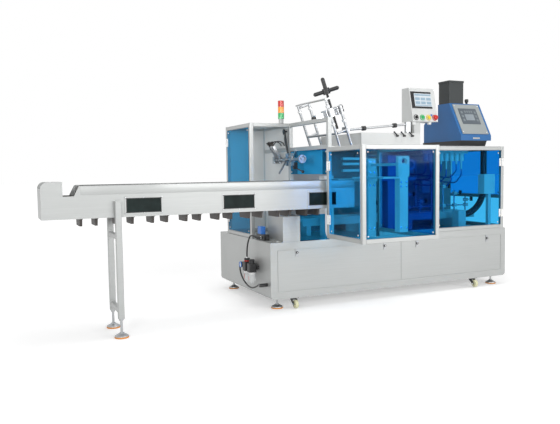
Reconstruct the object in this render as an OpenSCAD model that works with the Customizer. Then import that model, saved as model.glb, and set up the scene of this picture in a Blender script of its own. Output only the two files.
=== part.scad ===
// Automatic cartoner: base cabinet, bucket infeed conveyor, guards with blue
// acrylic doors, carton magazine, operator panel and hot-melt unit.
// Modelled in millimetres, x along the line, y away from the operator, z up,
// from the cabinet's front left corner on the floor, then centred by place().

/* [Base cabinet] */
// Length of the base cabinet
base_l = 2266; // [2150:1:2500]
// Depth of the base cabinet, front to back
base_w = 1070; // [1000:1:1250]
// Height of the cabinet body
base_h = 420; // [380:1:500]
// Gap between the floor and the cabinet's underside
base_clear = 80; // [76:1:120]
// Radius of the cabinet's lower edges at both ends
base_r = 30; // [10:1:60]
// Thickness of the lift-off panels
panel_t = 3; // [2:0.5:5]
// Gap around the lift-off panels
panel_gap = 5; // [3:0.5:8]
// Distance from the panels to the cabinet's edges
panel_margin = 59; // [45:1:70]
// Place of the seam between the two front panels
panel_split = 1152; // [1000:1:1250]

/* [Feet and castors] */
// Distance from the feet to the cabinet's ends and sides
foot_in = 85; // [75:1:95]
// Diameter of a foot's steel pad
pad_d = 90; // [70:1:92]
// Height of a foot's steel pad
pad_h = 24; // [16:1:30]
// Thickness of the rubber ring under a foot
ring_t = 10; // [6:1:14]
// Diameter of a foot's threaded stem
stem_d = 16; // [12:1:20]
// Distance from the left castors' swivels to the cabinet's left end
castor_left = 200; // [200:1:300]
// Distance from the right castors' swivels to the cabinet's right end
castor_right = 344; // [230:1:400]
// Distance from the castors' swivels to the cabinet's sides
castor_in = 36; // [32:1:45]
// Diameter of a castor wheel
wheel_d = 62; // [54:1:64]
// Width of a castor wheel
wheel_w = 26; // [20:1:30]
// Distance from the swivel to the wheel's axle
castor_trail = 36; // [32:1:40]
// Gap between the raised castor wheels and the floor
wheel_lift = 3; // [2:0.5:6]

/* [Infeed conveyor] */
// Reach of the conveyor to the left of the cabinet
conveyor_reach = 1562; // [1400:1:1750]
// Place of the conveyor's inner end
conveyor_tail = 600; // [560:1:640]
// Height of the side plates' lower edge above the floor
conveyor_z = 751; // [740:1:780]
// Height of the side plates
conveyor_h = 200; // [190:1:220]
// Width over the side plates
conveyor_w = 247; // [200:1:280]
// Distance from the cabinet's front to the front side plate
conveyor_out = 190; // [160:1:190]
// Thickness of the side plates
plate_t = 4; // [3:0.5:6]
// Length of the raised head at the left end
head_l = 125; // [125:1:160]
// Rise of the head above the side plates
head_rise = 25; // [15:1:40]
// Length of the notch behind the head
notch_l = 95; // [60:1:120]
// Depth of the notch behind the head
notch_depth = 62; // [40:1:70]
// Length of an inspection window
window_l = 217; // [160:1:240]
// Height of an inspection window
window_h = 88; // [60:1:100]
// Distance between the inspection windows
window_pitch = 642; // [560:1:660]
// Centre of the first inspection window, from the left end
window_start = 609; // [560:1:660]
// Distance between the bucket chain's pairs of flights
flight_pitch = 222; // [200:1:240]
// Distance between the two flights of a pair
flight_gap = 92; // [70:1:100]
// Length of a flight
flight_len = 54; // [46:1:56]
// Thickness of a flight
flight_t = 16; // [8:1:20]
// Radius of the bucket chain at its sprockets
chain_r = 66; // [60:1:68]
// Thickness of the chain strands
strand_t = 16; // [12:1:18]
// Distance from the outer leg frame to the conveyor's left end
stand_in = 443; // [300:1:600]
// Size of the leg frame's square tube
stand_tube = 38; // [30:1:45]

/* [Guards] */
// Size of the guards' square tube
tube = 30; // [25:1:40]
// Distance from the cabinet's left end to the tall cage
cage_in = 10; // [5:1:20]
// Length of the tall cage
cage_l = 370; // [350:1:390]
// Distance from the cabinet's front to the tall cage
cage_y = 376; // [340:1:400]
// Depth of the tall cage
cage_w = 539; // [500:1:580]
// Height of the tall cage above the cabinet
cage_h = 899; // [850:1:950]
// Length of the front guard box
guard_l = 625; // [560:1:680]
// Reach of the front guard box in front of the cabinet
guard_reach = 685; // [620:1:740]
// Depth of the front guard box's side door opening with its posts
guard_w = 470; // [400:1:490]
// Height of the front guard box above the cabinet
guard_h = 687; // [640:1:720]
// Height of the main enclosure above the cabinet
roof_h = 706; // [680:1:740]
// Distance from the main enclosure's right end to the cabinet's right end
roof_in = 23; // [15:1:40]
// Place of the post beside the right door
mid_post = 1485; // [1400:1:1500]
// Height of the front guard box's underside above the cabinet
guard_lift = 39; // [30:1:45]
// Thickness of the acrylic panes and doors
pane_t = 8; // [5:1:10]
// Gap around the doors
door_gap = 4; // [3:0.5:6]
// Height of the carton outlet in the right end
outlet_h = 260; // [200:1:320]
// Thickness of the cover sheets
sheet_t = 4; // [3:0.5:6]

/* [Door hinges] */
// Diameter of the hinge knuckles
knuckle_d = 12; // [10:1:12]
// Diameter of the hinge pins
pin_d = 6; // [5:0.5:7]
// Height of a hinge
hinge_h = 66; // [50:1:80]
// Width of a hinge leaf
hinge_leaf = 24; // [18:1:26]
// Distance from the hinges to the ends of a door
hinge_in = 70; // [60:1:110]

/* [Operator panel] */
// Width of the operator panel's box
panel_box_w = 264; // [255:1:300]
// Depth of the operator panel's box
panel_box_d = 157; // [120:1:170]
// Height of the operator panel's box
panel_box_h = 294; // [280:1:320]
// Place of the operator panel along the line
panel_box_x = 1422; // [1400:1:1450]
// Distance from the cabinet's front to the operator panel
panel_box_y = 200; // [160:1:240]
// Height of the operator panel's post above the roof
panel_post_h = 218; // [150:1:260]
// Backward tilt of the operator panel's face in degrees
panel_tilt = 12; // [0:1:14]
// Width of the screen's bezel
screen_w = 212; // [190:1:220]
// Height of the screen's bezel
screen_h = 146; // [130:1:150]
// Diameter of a push button
button_d = 30; // [24:1:32]
// Diameter of the emergency stop's mushroom head
stop_d = 44; // [38:1:48]

/* [Hot-melt unit] */
// Width of the hot-melt unit
melter_w = 339; // [300:1:380]
// Depth of the hot-melt unit's main body
melter_d = 303; // [280:1:340]
// Height of the hot-melt unit's main body
melter_h = 331; // [300:1:360]
// Depth of the tank behind the main body
tank_d = 216; // [180:1:240]
// Height of the tank behind the main body
tank_h = 194; // [160:1:220]
// Place of the hot-melt unit along the line
melter_x = 1850; // [1820:1:1860]
// Distance from the cabinet's front to the hot-melt unit
melter_y = 100; // [80:1:140]
// Height of the black foot under the hot-melt unit
melter_foot_h = 53; // [40:1:60]
// Height of the pellet hopper
hopper_h = 200; // [160:1:240]

/* [Signal tower] */
// Diameter of the signal tower
signal_d = 48; // [40:1:60]
// Height of one lens of the signal tower
lens_h = 46; // [36:1:56]

/* [Carton magazine] */
// Lean of the magazine's rods in degrees
lean = 19; // [14:1:22]
// Diameter of the magazine's rods
rod_d = 20; // [14:1:22]
// Length of the magazine's far rods
rod_l = 360; // [320:1:400]
// Distance between the two rods of a side
rod_gap = 100; // [80:1:110]
// Place of the magazine along the line
magazine_x = 582; // [560:1:600]
// Distance between the near and the far rods
magazine_w = 462; // [420:1:480]
// Diameter of the adjusting screw
screw_d = 18; // [14:1:20]

/* [Hidden] */
$fn = 48;
fit_gap = 0.3;
pin_gap = 0.1;
base_z = base_clear + base_h;
latch_t = 4;
mid_x = (base_l - conveyor_reach) / 2;
mid_y = (base_w + latch_t * 1.5 - guard_reach) / 2;
axle_z = wheel_d / 2 + wheel_lift;
conveyor_y = -conveyor_out;
conveyor_top = conveyor_z + conveyor_h;
conveyor_in_y = conveyor_y + plate_t;
conveyor_in_w = conveyor_w - 2 * plate_t;
chain_z = conveyor_z + chain_r + 5;
chain_x0 = -conveyor_reach + plate_t + chain_r + flight_len + 6;
chain_x1 = conveyor_tail - chain_r - flight_len - 6;
strand_in = 10;
strand_w = 12;
flight_seat = conveyor_in_w / 2 - strand_in;
flight_side = 34;
flight_in = 92;
flight_slant = 0.12;
flight_foot = 10;
flight_half = conveyor_in_w / 2 - flight_side;
flight_count = floor((chain_x1 - chain_x0 - flight_in - flight_gap) / flight_pitch) + 1;
cage_x1 = cage_in + cage_l;
cage_y1 = cage_y + cage_w;
cage_top = base_z + cage_h;
guard_x = cage_x1 - tube;
guard_x1 = guard_x + guard_l;
guard_y = -guard_reach;
guard_y1 = guard_y + guard_w;
guard_z = base_z + guard_lift;
guard_top = base_z + guard_h;
roof_z = base_z + roof_h;
roof_x1 = base_l - roof_in;
roof_y1 = base_w;
magazine_y = -12;
roof_x0 = magazine_x + rod_gap + 100;
pin_out = knuckle_d / 2 + 1;
leaf_t = 3;
latch_w = 26;
latch_h = 56;
latch_drop = 84;
latch_in = 155;
panel_spans = [[panel_margin, panel_split - panel_gap / 2],
    [panel_split + panel_gap / 2, base_l - panel_margin]];
nut_h = 12;
castor_plate = 60;
castor_sheet = 4;
crown_d = 36;
crown_t = 5;
race_z = base_clear - castor_sheet - 6;
crown_z = race_z - crown_t - 0.5;
kingpin_d = 12;
fork_t = 3;
fork_w = wheel_w + 2 * (5 + fork_t);
boss_r = 9;
axle_d = 8;
head_r = 40;
window_z = conveyor_z + 27;
rim_t = 3;
rim_w = 12;
lip_w = 20;
spacer_d = 20;
spacer_count = 5;
spacer_in = 60;
stand_x = -conveyor_reach + stand_in;
stand_z = 120;
stand_y0 = conveyor_y - stand_tube / 2;
stand_y1 = conveyor_y + conveyor_w + stand_tube / 2;
stand_drop = 98;
rung_low = 30;
rung_drop = 138;
pedestal_x = 105;
pedestal_l = 140;
pedestal_y = 4;
pedestal_d = 266;
pedestal_wall = 6;
riser_t = 8;
pedestal_foot = 36;
pedestal_top = chain_z - chain_r - flight_len - 12;
pane_in = 8;
bay_gap = 45;
splash_x = 248;
splash_l = 250;
splash_y = 74;
splash_r = 70;
splash_t = 5;
knuckle_gap = 0.6;
hood_l = 560;
hood_w = 640;
hood_h = 104;
signal_x = 285;
signal_y = 391;
signal_base_h = 34;
lens_gap = 2;
panel_post_w = 70;
panel_post_in = 42;
post_flange = 22;
post_flange_t = 8;
button_in = 38;
button_pitch = 65;
button_z = 36;
collar_t = 4;
collar_h = 6;
button_stem_d = 12;
button_travel = 3;
stem_l = 18;
screen_in = 10;
screen_drop = 32;
screen_t = 4;
screen_out = 3;
melter_foot_in = 24;
melter_lip = 44;
melter_top = 150;
melter_panel_in = 26;
melter_panel_t = 6;
tank_in = 14;
hopper_in = 6;
hopper_w = 162;
hopper_d = 144;
hopper_lid = 16;
knob_d = 34;
knob_h = 52;
knob_in = 74;
air_y = 240;
air_pitch = 92;
air_z = 262;
air_h = 66;
air_w = 58;
air_out = 50;
air_knob_h = 30;
air_gauge_out = 70;
air_port_d = 16;
air_ys = [air_y, air_y + air_pitch];
air_gauge_d = 44;
air_bowl_h = 80;
air_port_h = 10;
bulkhead_y = 66;
bulkhead_z = 186;
bulkhead_d = 26;
valve_in = 22;
valve_body = 46;
valve_y = 170;
valve_l = 140;
valve_port = 30;
valve_nose = 8;
coil_h = 56;
air_hose_d = 12;
hose_sides = 12;
air_top = air_z + air_h + air_knob_h + air_port_h + fit_gap;
valve_at = [valve_nose - fit_gap, valve_y + valve_port, base_z + valve_body / 2];
upper_path = [[-air_out, air_ys[1], air_top], [-air_out, air_ys[1], air_top + 28],
    [-air_out + 1, air_ys[1] - 2, air_top + 56], [-air_out + 2, air_ys[1] - 7, air_top + 84],
    [-air_out + 3, air_ys[1] - 17, air_top + 111], [-air_out + 4, air_ys[1] - 33, air_top + 135],
    [-air_out + 5, air_ys[1] - 55, valve_at[2] + 6], [-air_out + 8, air_ys[1] - 81, valve_at[2] + 14],
    [-air_out + 14, valve_at[1] + 26, valve_at[2] + 12], [-air_out + 26, valve_at[1] + 8, valve_at[2] + 5],
    valve_at - [14, 0, 0], valve_at];
inlet_at = [-air_out, air_ys[1] + air_w / 2 + air_gauge_out + air_gauge_d / 2 + fit_gap, air_z + air_h / 2];
outlet_at = [-air_out, bulkhead_y + bulkhead_d + fit_gap, bulkhead_z];
lower_path = [inlet_at, inlet_at + [0, 14, 0], inlet_at + [0, 30, -16], inlet_at + [0, 30, -46],
    inlet_at + [0, 10, -78], inlet_at + [0, -18, -104], inlet_at + [0, -54, -126],
    inlet_at + [0, -94, -142], inlet_at + [0, -136, -152], inlet_at + [0, -178, -156],
    inlet_at + [0, -220, -153], inlet_at + [0, -260, -144], inlet_at + [0, -298, -131],
    outlet_at + [0, 38, -12], outlet_at + [0, 14, 0], outlet_at];
near_rod_cut = 70;
near_rod_l = rod_l - near_rod_cut;
top_bar_w = 50;
top_bar_t = 10;
top_bar_over = 14;
cross_low = 96;
bar_d = 18;
rod_end = rod_d / 2 + fit_gap;
block_side = 26;
block_z = 222;
block_h = 62;
lug_l = 70;
lug_h = 40;
screw_x = rod_gap * 0.6;
screw_y = 62;
screw_low = 120;
crank_up = 172;
crank_hub = 46;
crank_hub_d = 56;
crank_r = 86;
crank_arm_d = 30;
crank_grip = 84;
crank_turn = -35;
hood_z = roof_z + hood_h;
stay_x0 = 654;
stay_x1 = 1233;
stay_y = 22;
stay_z0 = 1329;
stay_z1 = 1383;
stay_d = 18;
stay_clamp = 42;
stay_a = atan2(stay_z1 - stay_z0, stay_x1 - stay_x0);
stay_l = sqrt((stay_x1 - stay_x0) * (stay_x1 - stay_x0) + (stay_z1 - stay_z0) * (stay_z1 - stay_z0));
collar_ls = [150, 440];
collar_l = 28;
lever_xs = [1112, 1180, 1258];
lever_drop = 22;
lever_d = 10;
lever_out = 20;
lever_l = 44;
picker_x = 318;
picker_y0 = 90;
picker_z = 1112;
picker_d = 20;
picker_y1 = 576;
bearing_w = 56;
bearing_t = 30;
roller_d = 62;
roller_w = 24;
clamp_ys = [352, 252];
clamp_d = 46;
clamp_w = 26;
ear_w = 16;
ear_h = 52;
link_t = 8;
link_top = [436, 1338];
link_low = [365, 1150];
link_r = 20;
link_pin = 12;
picker_arms = [470, 530];
arm_a = -32;
arm_w = 22;
arm_t = 14;
arm_l = 130;
drive_columns = [[560, 480], [1160, 640]];
pusher_x = 842;
pusher_w = 72;
pusher_d = 60;
pusher_h = 610;
pusher_out = 410;
pusher_z = 958;
pusher_t = 12;
pusher_left = 700;
column_w = 84;
column_y = 190;
beam_z = 930;
beam_h = 26;
wall_x0 = 470;
wall_y = 620;
wall_t = 12;
guide_zs = [1010, 1060, 1100];
guide_d = 20;
bracket_w = 96;
drum_d = 92;
drum_x = 1330;
valve_x = 1560;
valve_w = 44;
valve_pitch = 56;
valve_count = 8;
track_ys = [300, 520];
track_x0 = 420;
track_z = 580;
track_pitch = 500;
track_w = 24;
track_h = 60;
track_foot = 40;
hose_x = 2160;
hose_in = 60;
hose_z = 620;
hose_r = 235;
hose_d = 54;
gun_w = 80;
chute_x = 420;
chute_t = 4;
control_x = 2052;
control_w = 120;
control_y = 34;
control_d = 76;
control_z = 800;
control_h = 170;
foot_places = [for (x = [foot_in, base_l - foot_in], y = [foot_in, base_w - foot_in]) [x, y, base_clear]];
stand_places = [for (y = [stand_y0, stand_y1]) [stand_x, y, stand_z]];
foot_places_all = concat(foot_places, stand_places);
castor_xs = [castor_left, base_l - castor_right];
castor_ys = [castor_in, base_w - castor_in];
front_bays = [[guard_x1, mid_post], [mid_post + tube, roof_x1 - tube]];
rear_bays = [[guard_x + tube, guard_x1 - tube], [guard_x1, mid_post],
    [mid_post + tube, roof_x1 - tube]];
knuckle_h = hinge_h / 3 - knuckle_gap;
slope_y = melter_d - melter_top;
slope_z = melter_h - melter_lip;
slope_l = sqrt(slope_y * slope_y + slope_z * slope_z);
slope_a = atan2(slope_y, slope_z);

// Shared shapes

module place() translate([-mid_x, -mid_y, 0]) children();

module soft_square(a, b, r) {
    translate([r, 0]) square([a - 2 * r, b]);
    translate([0, r]) square([a, b - 2 * r]);
    for (x = [r, a - r], y = [r, b - r]) translate([x, y]) circle(r);
}

module post(x, y, z0, z1, a = tube) translate([x, y, z0]) linear_extrude(z1 - z0) soft_square(a, a, a / 8);

module rail_x(x0, x1, y, z, a = tube)
    translate([x0, y, z]) rotate([90, 0, 90]) linear_extrude(x1 - x0) soft_square(a, a, a / 8);

module rail_y(y0, y1, x, z, a = tube)
    translate([x, y1, z]) rotate([90, 0, 0]) linear_extrude(y1 - y0) soft_square(a, a, a / 8);

module slab(x0, x1, y0, y1, z0, z1) translate([x0, y0, z0]) cube([x1 - x0, y1 - y0, z1 - z0]);

// An upright plate drawn in x and z, from y towards the back
module upright(y, t) translate([0, y + t, 0]) rotate([90, 0, 0]) linear_extrude(t) children();

// A shape drawn in y and z, carried along x
module side_profile(w) rotate([90, 0, 90]) linear_extrude(w) children();

// Base cabinet

module cabinet_outline() {
    translate([0, base_clear + base_r]) square([base_l, base_h - base_r]);
    translate([base_r, base_clear]) square([base_l - 2 * base_r, base_h]);
    for (x = [base_r, base_l - base_r]) translate([x, base_clear + base_r]) circle(base_r);
}

// Front and back faces of the lift-off panels, as y of the outer face and inward direction
module on_both_sides() {
    children();
    translate([0, base_w, 0]) mirror([0, 1, 0]) children();
}

module base_cabinet() place() color("#c8c9c9") difference() {
    upright(0, base_w) cabinet_outline();
    on_both_sides() translate([0, -1, 0]) slab(panel_margin - panel_gap, base_l - panel_margin + panel_gap, 0,
        panel_t + 1, base_clear + panel_margin - panel_gap, base_z - panel_margin + panel_gap);
}

module base_panels() place() color("#c8c9c9") on_both_sides() for (span = panel_spans)
    slab(span[0], span[1], 0, panel_t, base_clear + panel_margin, base_z - panel_margin);

module panel_latches() place() color("#a0a2a4") on_both_sides()
    for (span = panel_spans, x = [span[0] + latch_in, span[1] - latch_in])
        translate([x, 0, base_z - latch_drop]) {
            translate([-latch_w / 2, 0, -latch_h / 2]) rotate([90, 0, 0])
                linear_extrude(latch_t) soft_square(latch_w, latch_h, latch_w / 5);
            translate([0, -latch_t + 1, -latch_h / 5])
                rotate([90, 0, 0]) cylinder(d = latch_w / 2, h = latch_t / 2 + 1);
        }

// Feet and castors

module levelling_feet() place() color("#8a8d8f") for (p = foot_places_all) translate([p[0], p[1], 0]) {
    rotate_extrude() polygon([[0, ring_t], [pad_d / 2 - 2, ring_t], [pad_d / 2 - 3, ring_t + 6],
        [stem_d / 2 + 8, ring_t + pad_h - 4], [stem_d / 2 + 6, ring_t + pad_h], [0, ring_t + pad_h]]);
    translate([0, 0, ring_t + pad_h - 1]) cylinder(d = stem_d, h = p[2] - ring_t - pad_h + 1);
    translate([0, 0, p[2] - nut_h]) cylinder(d = stem_d * 1.8, h = nut_h, $fn = 6);
}

module foot_rings() place() color("#d89040") for (p = foot_places_all)
    translate([p[0], p[1], 0])
    rotate_extrude() polygon([[0, 0], [pad_d / 2 - 2, 0], [pad_d / 2, 3], [pad_d / 2, ring_t - 2],
        [pad_d / 2 - 2, ring_t], [0, ring_t]]);

module castor_plates() place() color("#2a2c2c") for (x = castor_xs, y = castor_ys) translate([x, y, 0]) {
    translate([-castor_plate / 2, -castor_plate / 2, base_clear - castor_sheet])
        cube([castor_plate, castor_plate, castor_sheet]);
    translate([0, 0, race_z]) cylinder(d = crown_d, h = base_clear - castor_sheet - race_z + 1);
    translate([0, 0, crown_z]) cylinder(d = kingpin_d, h = race_z - crown_z + 1);
}

module fork_leg() rotate([90, 0, 90]) linear_extrude(fork_t) {
    polygon([[crown_d / 2 - 2, crown_z], [crown_d / 2 - 2, crown_z + crown_t], [-crown_d / 2,
        crown_z + crown_t],
        [-castor_trail - boss_r * 0.8, axle_z + boss_r * 0.6], [-castor_trail, axle_z - boss_r],
        [-castor_trail + boss_r * 0.8, axle_z - boss_r * 0.6]]);
    translate([-castor_trail, axle_z]) circle(boss_r);
}

module castor_fork(x, y) place() color("#2a2c2c") translate([x, y, 0]) {
    difference() {
        union() {
            translate([0, 0, crown_z]) cylinder(d = crown_d, h = crown_t);
            slab(-fork_w / 2, fork_w / 2, -crown_d / 2 + 4, crown_d / 2 - 2, crown_z, crown_z + crown_t);
        }
        translate([0, 0, crown_z - 1]) cylinder(d = kingpin_d + 2 * pin_gap, h = crown_t + 2);
    }
    for (side = [-fork_w / 2, fork_w / 2 - fork_t]) translate([side, 0, 0]) fork_leg();
    translate([-fork_w / 2, -castor_trail, axle_z]) rotate([0, 90, 0]) cylinder(d = axle_d, h = fork_w);
}

module castor_wheel(x, y) place() color("#d8dab0")
    translate([x - wheel_w / 2, y - castor_trail, axle_z]) rotate([0, 90, 0]) rotate_extrude()
        polygon([[axle_d / 2 + pin_gap, -2], [axle_d, -2], [axle_d, 0], [wheel_d / 2 - 4, 0],
            [wheel_d / 2, 5],
            [wheel_d / 2, wheel_w - 5], [wheel_d / 2 - 4, wheel_w], [axle_d, wheel_w], [axle_d, wheel_w + 2],
            [axle_d / 2 + pin_gap, wheel_w + 2]]);

module castor_fork_front_left() castor_fork(castor_xs[0], castor_ys[0]);
module castor_fork_front_right() castor_fork(castor_xs[1], castor_ys[0]);
module castor_fork_rear_left() castor_fork(castor_xs[0], castor_ys[1]);
module castor_fork_rear_right() castor_fork(castor_xs[1], castor_ys[1]);
module castor_wheel_front_left() castor_wheel(castor_xs[0], castor_ys[0]);
module castor_wheel_front_right() castor_wheel(castor_xs[1], castor_ys[0]);
module castor_wheel_rear_left() castor_wheel(castor_xs[0], castor_ys[1]);
module castor_wheel_rear_right() castor_wheel(castor_xs[1], castor_ys[1]);

// Infeed conveyor

module plate_outline() {
    head_x = -conveyor_reach + head_l;
    polygon([[-conveyor_reach, conveyor_z], [conveyor_tail, conveyor_z], [conveyor_tail, conveyor_top],
        [head_x + notch_l, conveyor_top], [head_x + notch_l - notch_depth / 2, conveyor_top - notch_depth],
        [head_x, conveyor_top - notch_depth], [head_x, conveyor_top + head_rise],
        [-conveyor_reach + head_r, conveyor_top + head_rise], [-conveyor_reach,
            conveyor_top + head_rise - head_r]]);
    translate([-conveyor_reach + head_r, conveyor_top + head_rise - head_r]) circle(head_r);
}

module at_windows() for (i = [0 : 2])
    translate([-conveyor_reach + window_start + i * window_pitch - window_l / 2, window_z]) children();

module conveyor_plates() place() color("#c8c9c9") {
    difference() {
        union() {
            upright(conveyor_y, plate_t) plate_outline();
            upright(conveyor_y - rim_t, rim_t + 1) at_windows() translate([-rim_w, -rim_w])
                soft_square(window_l + 2 * rim_w, window_h + 2 * rim_w, rim_w / 2);
        }
        upright(conveyor_y - rim_t - 1, plate_t + rim_t + 2) at_windows() square([window_l, window_h]);
    }
    upright(conveyor_y + conveyor_w - plate_t, plate_t) plate_outline();
    for (y = [conveyor_in_y + fit_gap, conveyor_in_y + conveyor_in_w - fit_gap - lip_w])
        slab(-conveyor_reach + head_l + notch_l, conveyor_tail, y, y + lip_w, conveyor_top - plate_t,
            conveyor_top);
    slab(-conveyor_reach, -conveyor_reach + plate_t, conveyor_in_y + fit_gap,
        conveyor_in_y + conveyor_in_w - fit_gap,
        conveyor_z, conveyor_top + head_rise - head_r);
    slab(-conveyor_reach + head_r, -conveyor_reach + head_l, conveyor_in_y + fit_gap,
        conveyor_in_y + conveyor_in_w - fit_gap, conveyor_top + head_rise - plate_t,
            conveyor_top + head_rise);
}

module conveyor_windows() place() color("#2c3a3a") upright(conveyor_y, plate_t) at_windows()
    translate([fit_gap, fit_gap]) square([window_l - 2 * fit_gap, window_h - 2 * fit_gap]);

module conveyor_bed() place() color("#9a9c9c") {
    slab(chain_x0 + chain_r, chain_x1 - chain_r, conveyor_in_y + strand_in + strand_w + 4,
        conveyor_in_y + conveyor_in_w - strand_in - strand_w - 4, chain_z - chain_r + strand_t + 8,
        chain_z + chain_r - 3);
    for (i = [0 : spacer_count - 1])
        translate([chain_x0 + chain_r + spacer_in + i * (chain_x1 - chain_x0 - 2 * chain_r - 2 * spacer_in)
            / (spacer_count - 1), conveyor_in_y + conveyor_in_w, chain_z])
            rotate([90, 0, 0]) cylinder(d = spacer_d, h = conveyor_in_w);
    for (x = [chain_x0, chain_x1]) translate([x, conveyor_in_y + conveyor_in_w, chain_z]) rotate([90, 0, 0]) {
        cylinder(d = spacer_d * 1.5, h = conveyor_in_w);
        for (z = [strand_in, conveyor_in_w - strand_in - strand_w])
            translate([0, 0, z]) cylinder(r = chain_r - strand_t - 0.5, h = strand_w);
    }
}

module loop_outline(r) {
    translate([chain_x0, chain_z - r]) square([chain_x1 - chain_x0, 2 * r]);
    for (x = [chain_x0, chain_x1]) translate([x, chain_z]) circle(r);
}

module bucket_chain() place() color("#5a5650")
    for (y = [conveyor_in_y + strand_in, conveyor_in_y + conveyor_in_w - strand_in - strand_w])
        upright(y, strand_w) difference() {
            loop_outline(chain_r);
            loop_outline(chain_r - strand_t);
        }

// A flight drawn across the conveyor: a foot on both strands, then a blade with slanted ends
module flight(x, up) translate([x, conveyor_y + conveyor_w / 2, chain_z + up * chain_r]) rotate([90, 0, 90])
    linear_extrude(flight_t) polygon([for (p = [[-flight_seat, 0], [flight_seat, 0], [flight_seat,
        flight_foot],
        [flight_half, flight_foot], [flight_half * (1 - flight_slant), flight_len],
        [-flight_half * (1 - flight_slant), flight_len], [-flight_half, flight_foot],
        [-flight_seat, flight_foot]]) [p[0], up * p[1]]]);

module bucket_flights() place() color("#4a443e")
    for (i = [0 : flight_count - 1], second = [0, 1], up = [-1, 1])
        flight(chain_x0 + flight_in + i * flight_pitch + second * flight_gap, up);

module conveyor_stand() place() color("#b4b6b6") {
    for (y = [stand_y0, stand_y1])
        post(stand_x - stand_tube / 2, y - stand_tube / 2, stand_z, conveyor_top - stand_drop, stand_tube);
    for (z = [stand_z + rung_low, conveyor_z - rung_drop])
        rail_y(stand_y0 + stand_tube / 2 - 1, stand_y1 - stand_tube / 2 + 1, stand_x - tube / 2, z);
}

module conveyor_pedestal() place() color("#b8babb") {
    difference() {
        slab(pedestal_x, pedestal_x + pedestal_l, pedestal_y, pedestal_y + pedestal_d, base_z, pedestal_top);
        slab(pedestal_x + pedestal_wall, pedestal_x + pedestal_l - pedestal_wall, pedestal_y + pedestal_wall,
            pedestal_y + pedestal_d + 1, base_z + pedestal_wall, pedestal_top - pedestal_wall);
    }
    slab(pedestal_x, pedestal_x + pedestal_l, conveyor_y + conveyor_w, conveyor_y + conveyor_w + riser_t,
        pedestal_top - 1, conveyor_z + conveyor_h / 2);
    slab(pedestal_x - pedestal_foot, pedestal_x + 1, pedestal_y + pedestal_foot, pedestal_y + pedestal_d,
        base_z, base_z + riser_t);
}

// Guards

module guard_posts() place() color("#c8c9c9") {
    for (x = [cage_in, guard_x], y = [cage_y, cage_y1 - tube]) post(x, y, base_z, cage_top);
    post(guard_x, guard_y1 - tube, guard_z, cage_top);
    for (x = [guard_x, guard_x1 - tube]) post(x, guard_y, guard_z, guard_top);
    post(guard_x1 - tube, 0, base_z, roof_z);
    for (x = [mid_post, roof_x1 - tube]) post(x, 0, base_z, roof_z);
    for (x = [guard_x, guard_x1 - tube, mid_post, roof_x1 - tube]) post(x, roof_y1 - tube, base_z, roof_z);
}

// Pairs of neighbouring posts along the main enclosure

module cage_rails() {
    for (z = [base_z, cage_top - tube]) {
        for (y = [cage_y, cage_y1 - tube]) rail_x(cage_in + tube, guard_x, y, z);
        for (x = [cage_in, guard_x]) rail_y(cage_y + tube, cage_y1 - tube, x, z);
    }
    rail_y(cage_y + tube, cage_y1 - tube, guard_x, roof_z - tube);
    for (z = [roof_z - tube, cage_top - tube]) rail_y(guard_y1, cage_y, guard_x, z);
}

module front_guard_rails() for (z = [guard_z, guard_top - tube]) {
    rail_x(guard_x + tube, guard_x1 - tube, guard_y, z);
    rail_y(guard_y + tube, guard_y1 - tube, guard_x, z);
    rail_y(guard_y + tube, 0, guard_x1 - tube, z);
}

module enclosure_rails() {
    for (z = [base_z, roof_z - tube]) {
        for (b = front_bays) rail_x(b[0], b[1], 0, z);
        for (b = rear_bays) rail_x(b[0], b[1], roof_y1 - tube, z);
        rail_y(tube, roof_y1 - tube, roof_x1 - tube, z);
    }
    rail_y(tube, roof_y1 - tube, roof_x1 - tube, base_z + outlet_h);
    rail_x(guard_x + tube, guard_x1 - tube, magazine_y - tube / 2, roof_z - tube);
    rail_x(guard_x + tube, roof_x0, magazine_y + magazine_w - tube / 2, roof_z - tube);
    rail_y(magazine_y + tube / 2, roof_y1 - tube, roof_x0, roof_z - tube);
}

module guard_rails() place() color("#c8c9c9") {
    cage_rails();
    front_guard_rails();
    enclosure_rails();
}

module pane_across_y(x0, x1, y, z0, z1) slab(x0, x1, y + pane_in, y + pane_in + pane_t, z0, z1);
module pane_across_x(y0, y1, x, z0, z1) slab(x + pane_in, x + pane_in + pane_t, y0, y1, z0, z1);

// Curved splash sheet beside the conveyor's pedestal, drawn in y and z
module splash_sheet() translate([splash_x, splash_y, base_z]) rotate([90, 0, 90]) linear_extrude(splash_l) {
    translate([0, splash_r]) square([splash_t, pedestal_top - base_z - splash_r]);
    intersection() {
        translate([-splash_r + splash_t, splash_r]) difference() {
            circle(splash_r);
            circle(splash_r - splash_t);
        }
        translate([-splash_r + splash_t, 0]) square(splash_r);
    }
}

module guard_panes() place() color("#1c78c8", 0.6) {
    pane_across_y(guard_x + tube, guard_x1 - tube, guard_y, guard_z + tube, guard_top - tube);
    pane_across_x(guard_y + tube, 0, guard_x1 - tube, guard_z + tube, guard_top - tube);
    slab(guard_x + tube, guard_x1 - tube, guard_y + tube, magazine_y - tube / 2,
        guard_top - pane_in - pane_t, guard_top - pane_in);
    pane_across_y(guard_x1, mid_post, 0, base_z + tube, roof_z - tube);
    for (b = rear_bays) pane_across_y(b[0], b[1], roof_y1 - tube, base_z + tube, roof_z - tube);
    pane_across_x(tube, roof_y1 - tube, roof_x1 - tube, base_z + outlet_h + tube, roof_z - tube);
    pane_across_x(guard_y1, cage_y, guard_x, conveyor_top + bay_gap, roof_z - tube);
    splash_sheet();
}

// Hinges, drawn with the pin on z, the post towards +x and the closed door towards -x

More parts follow.
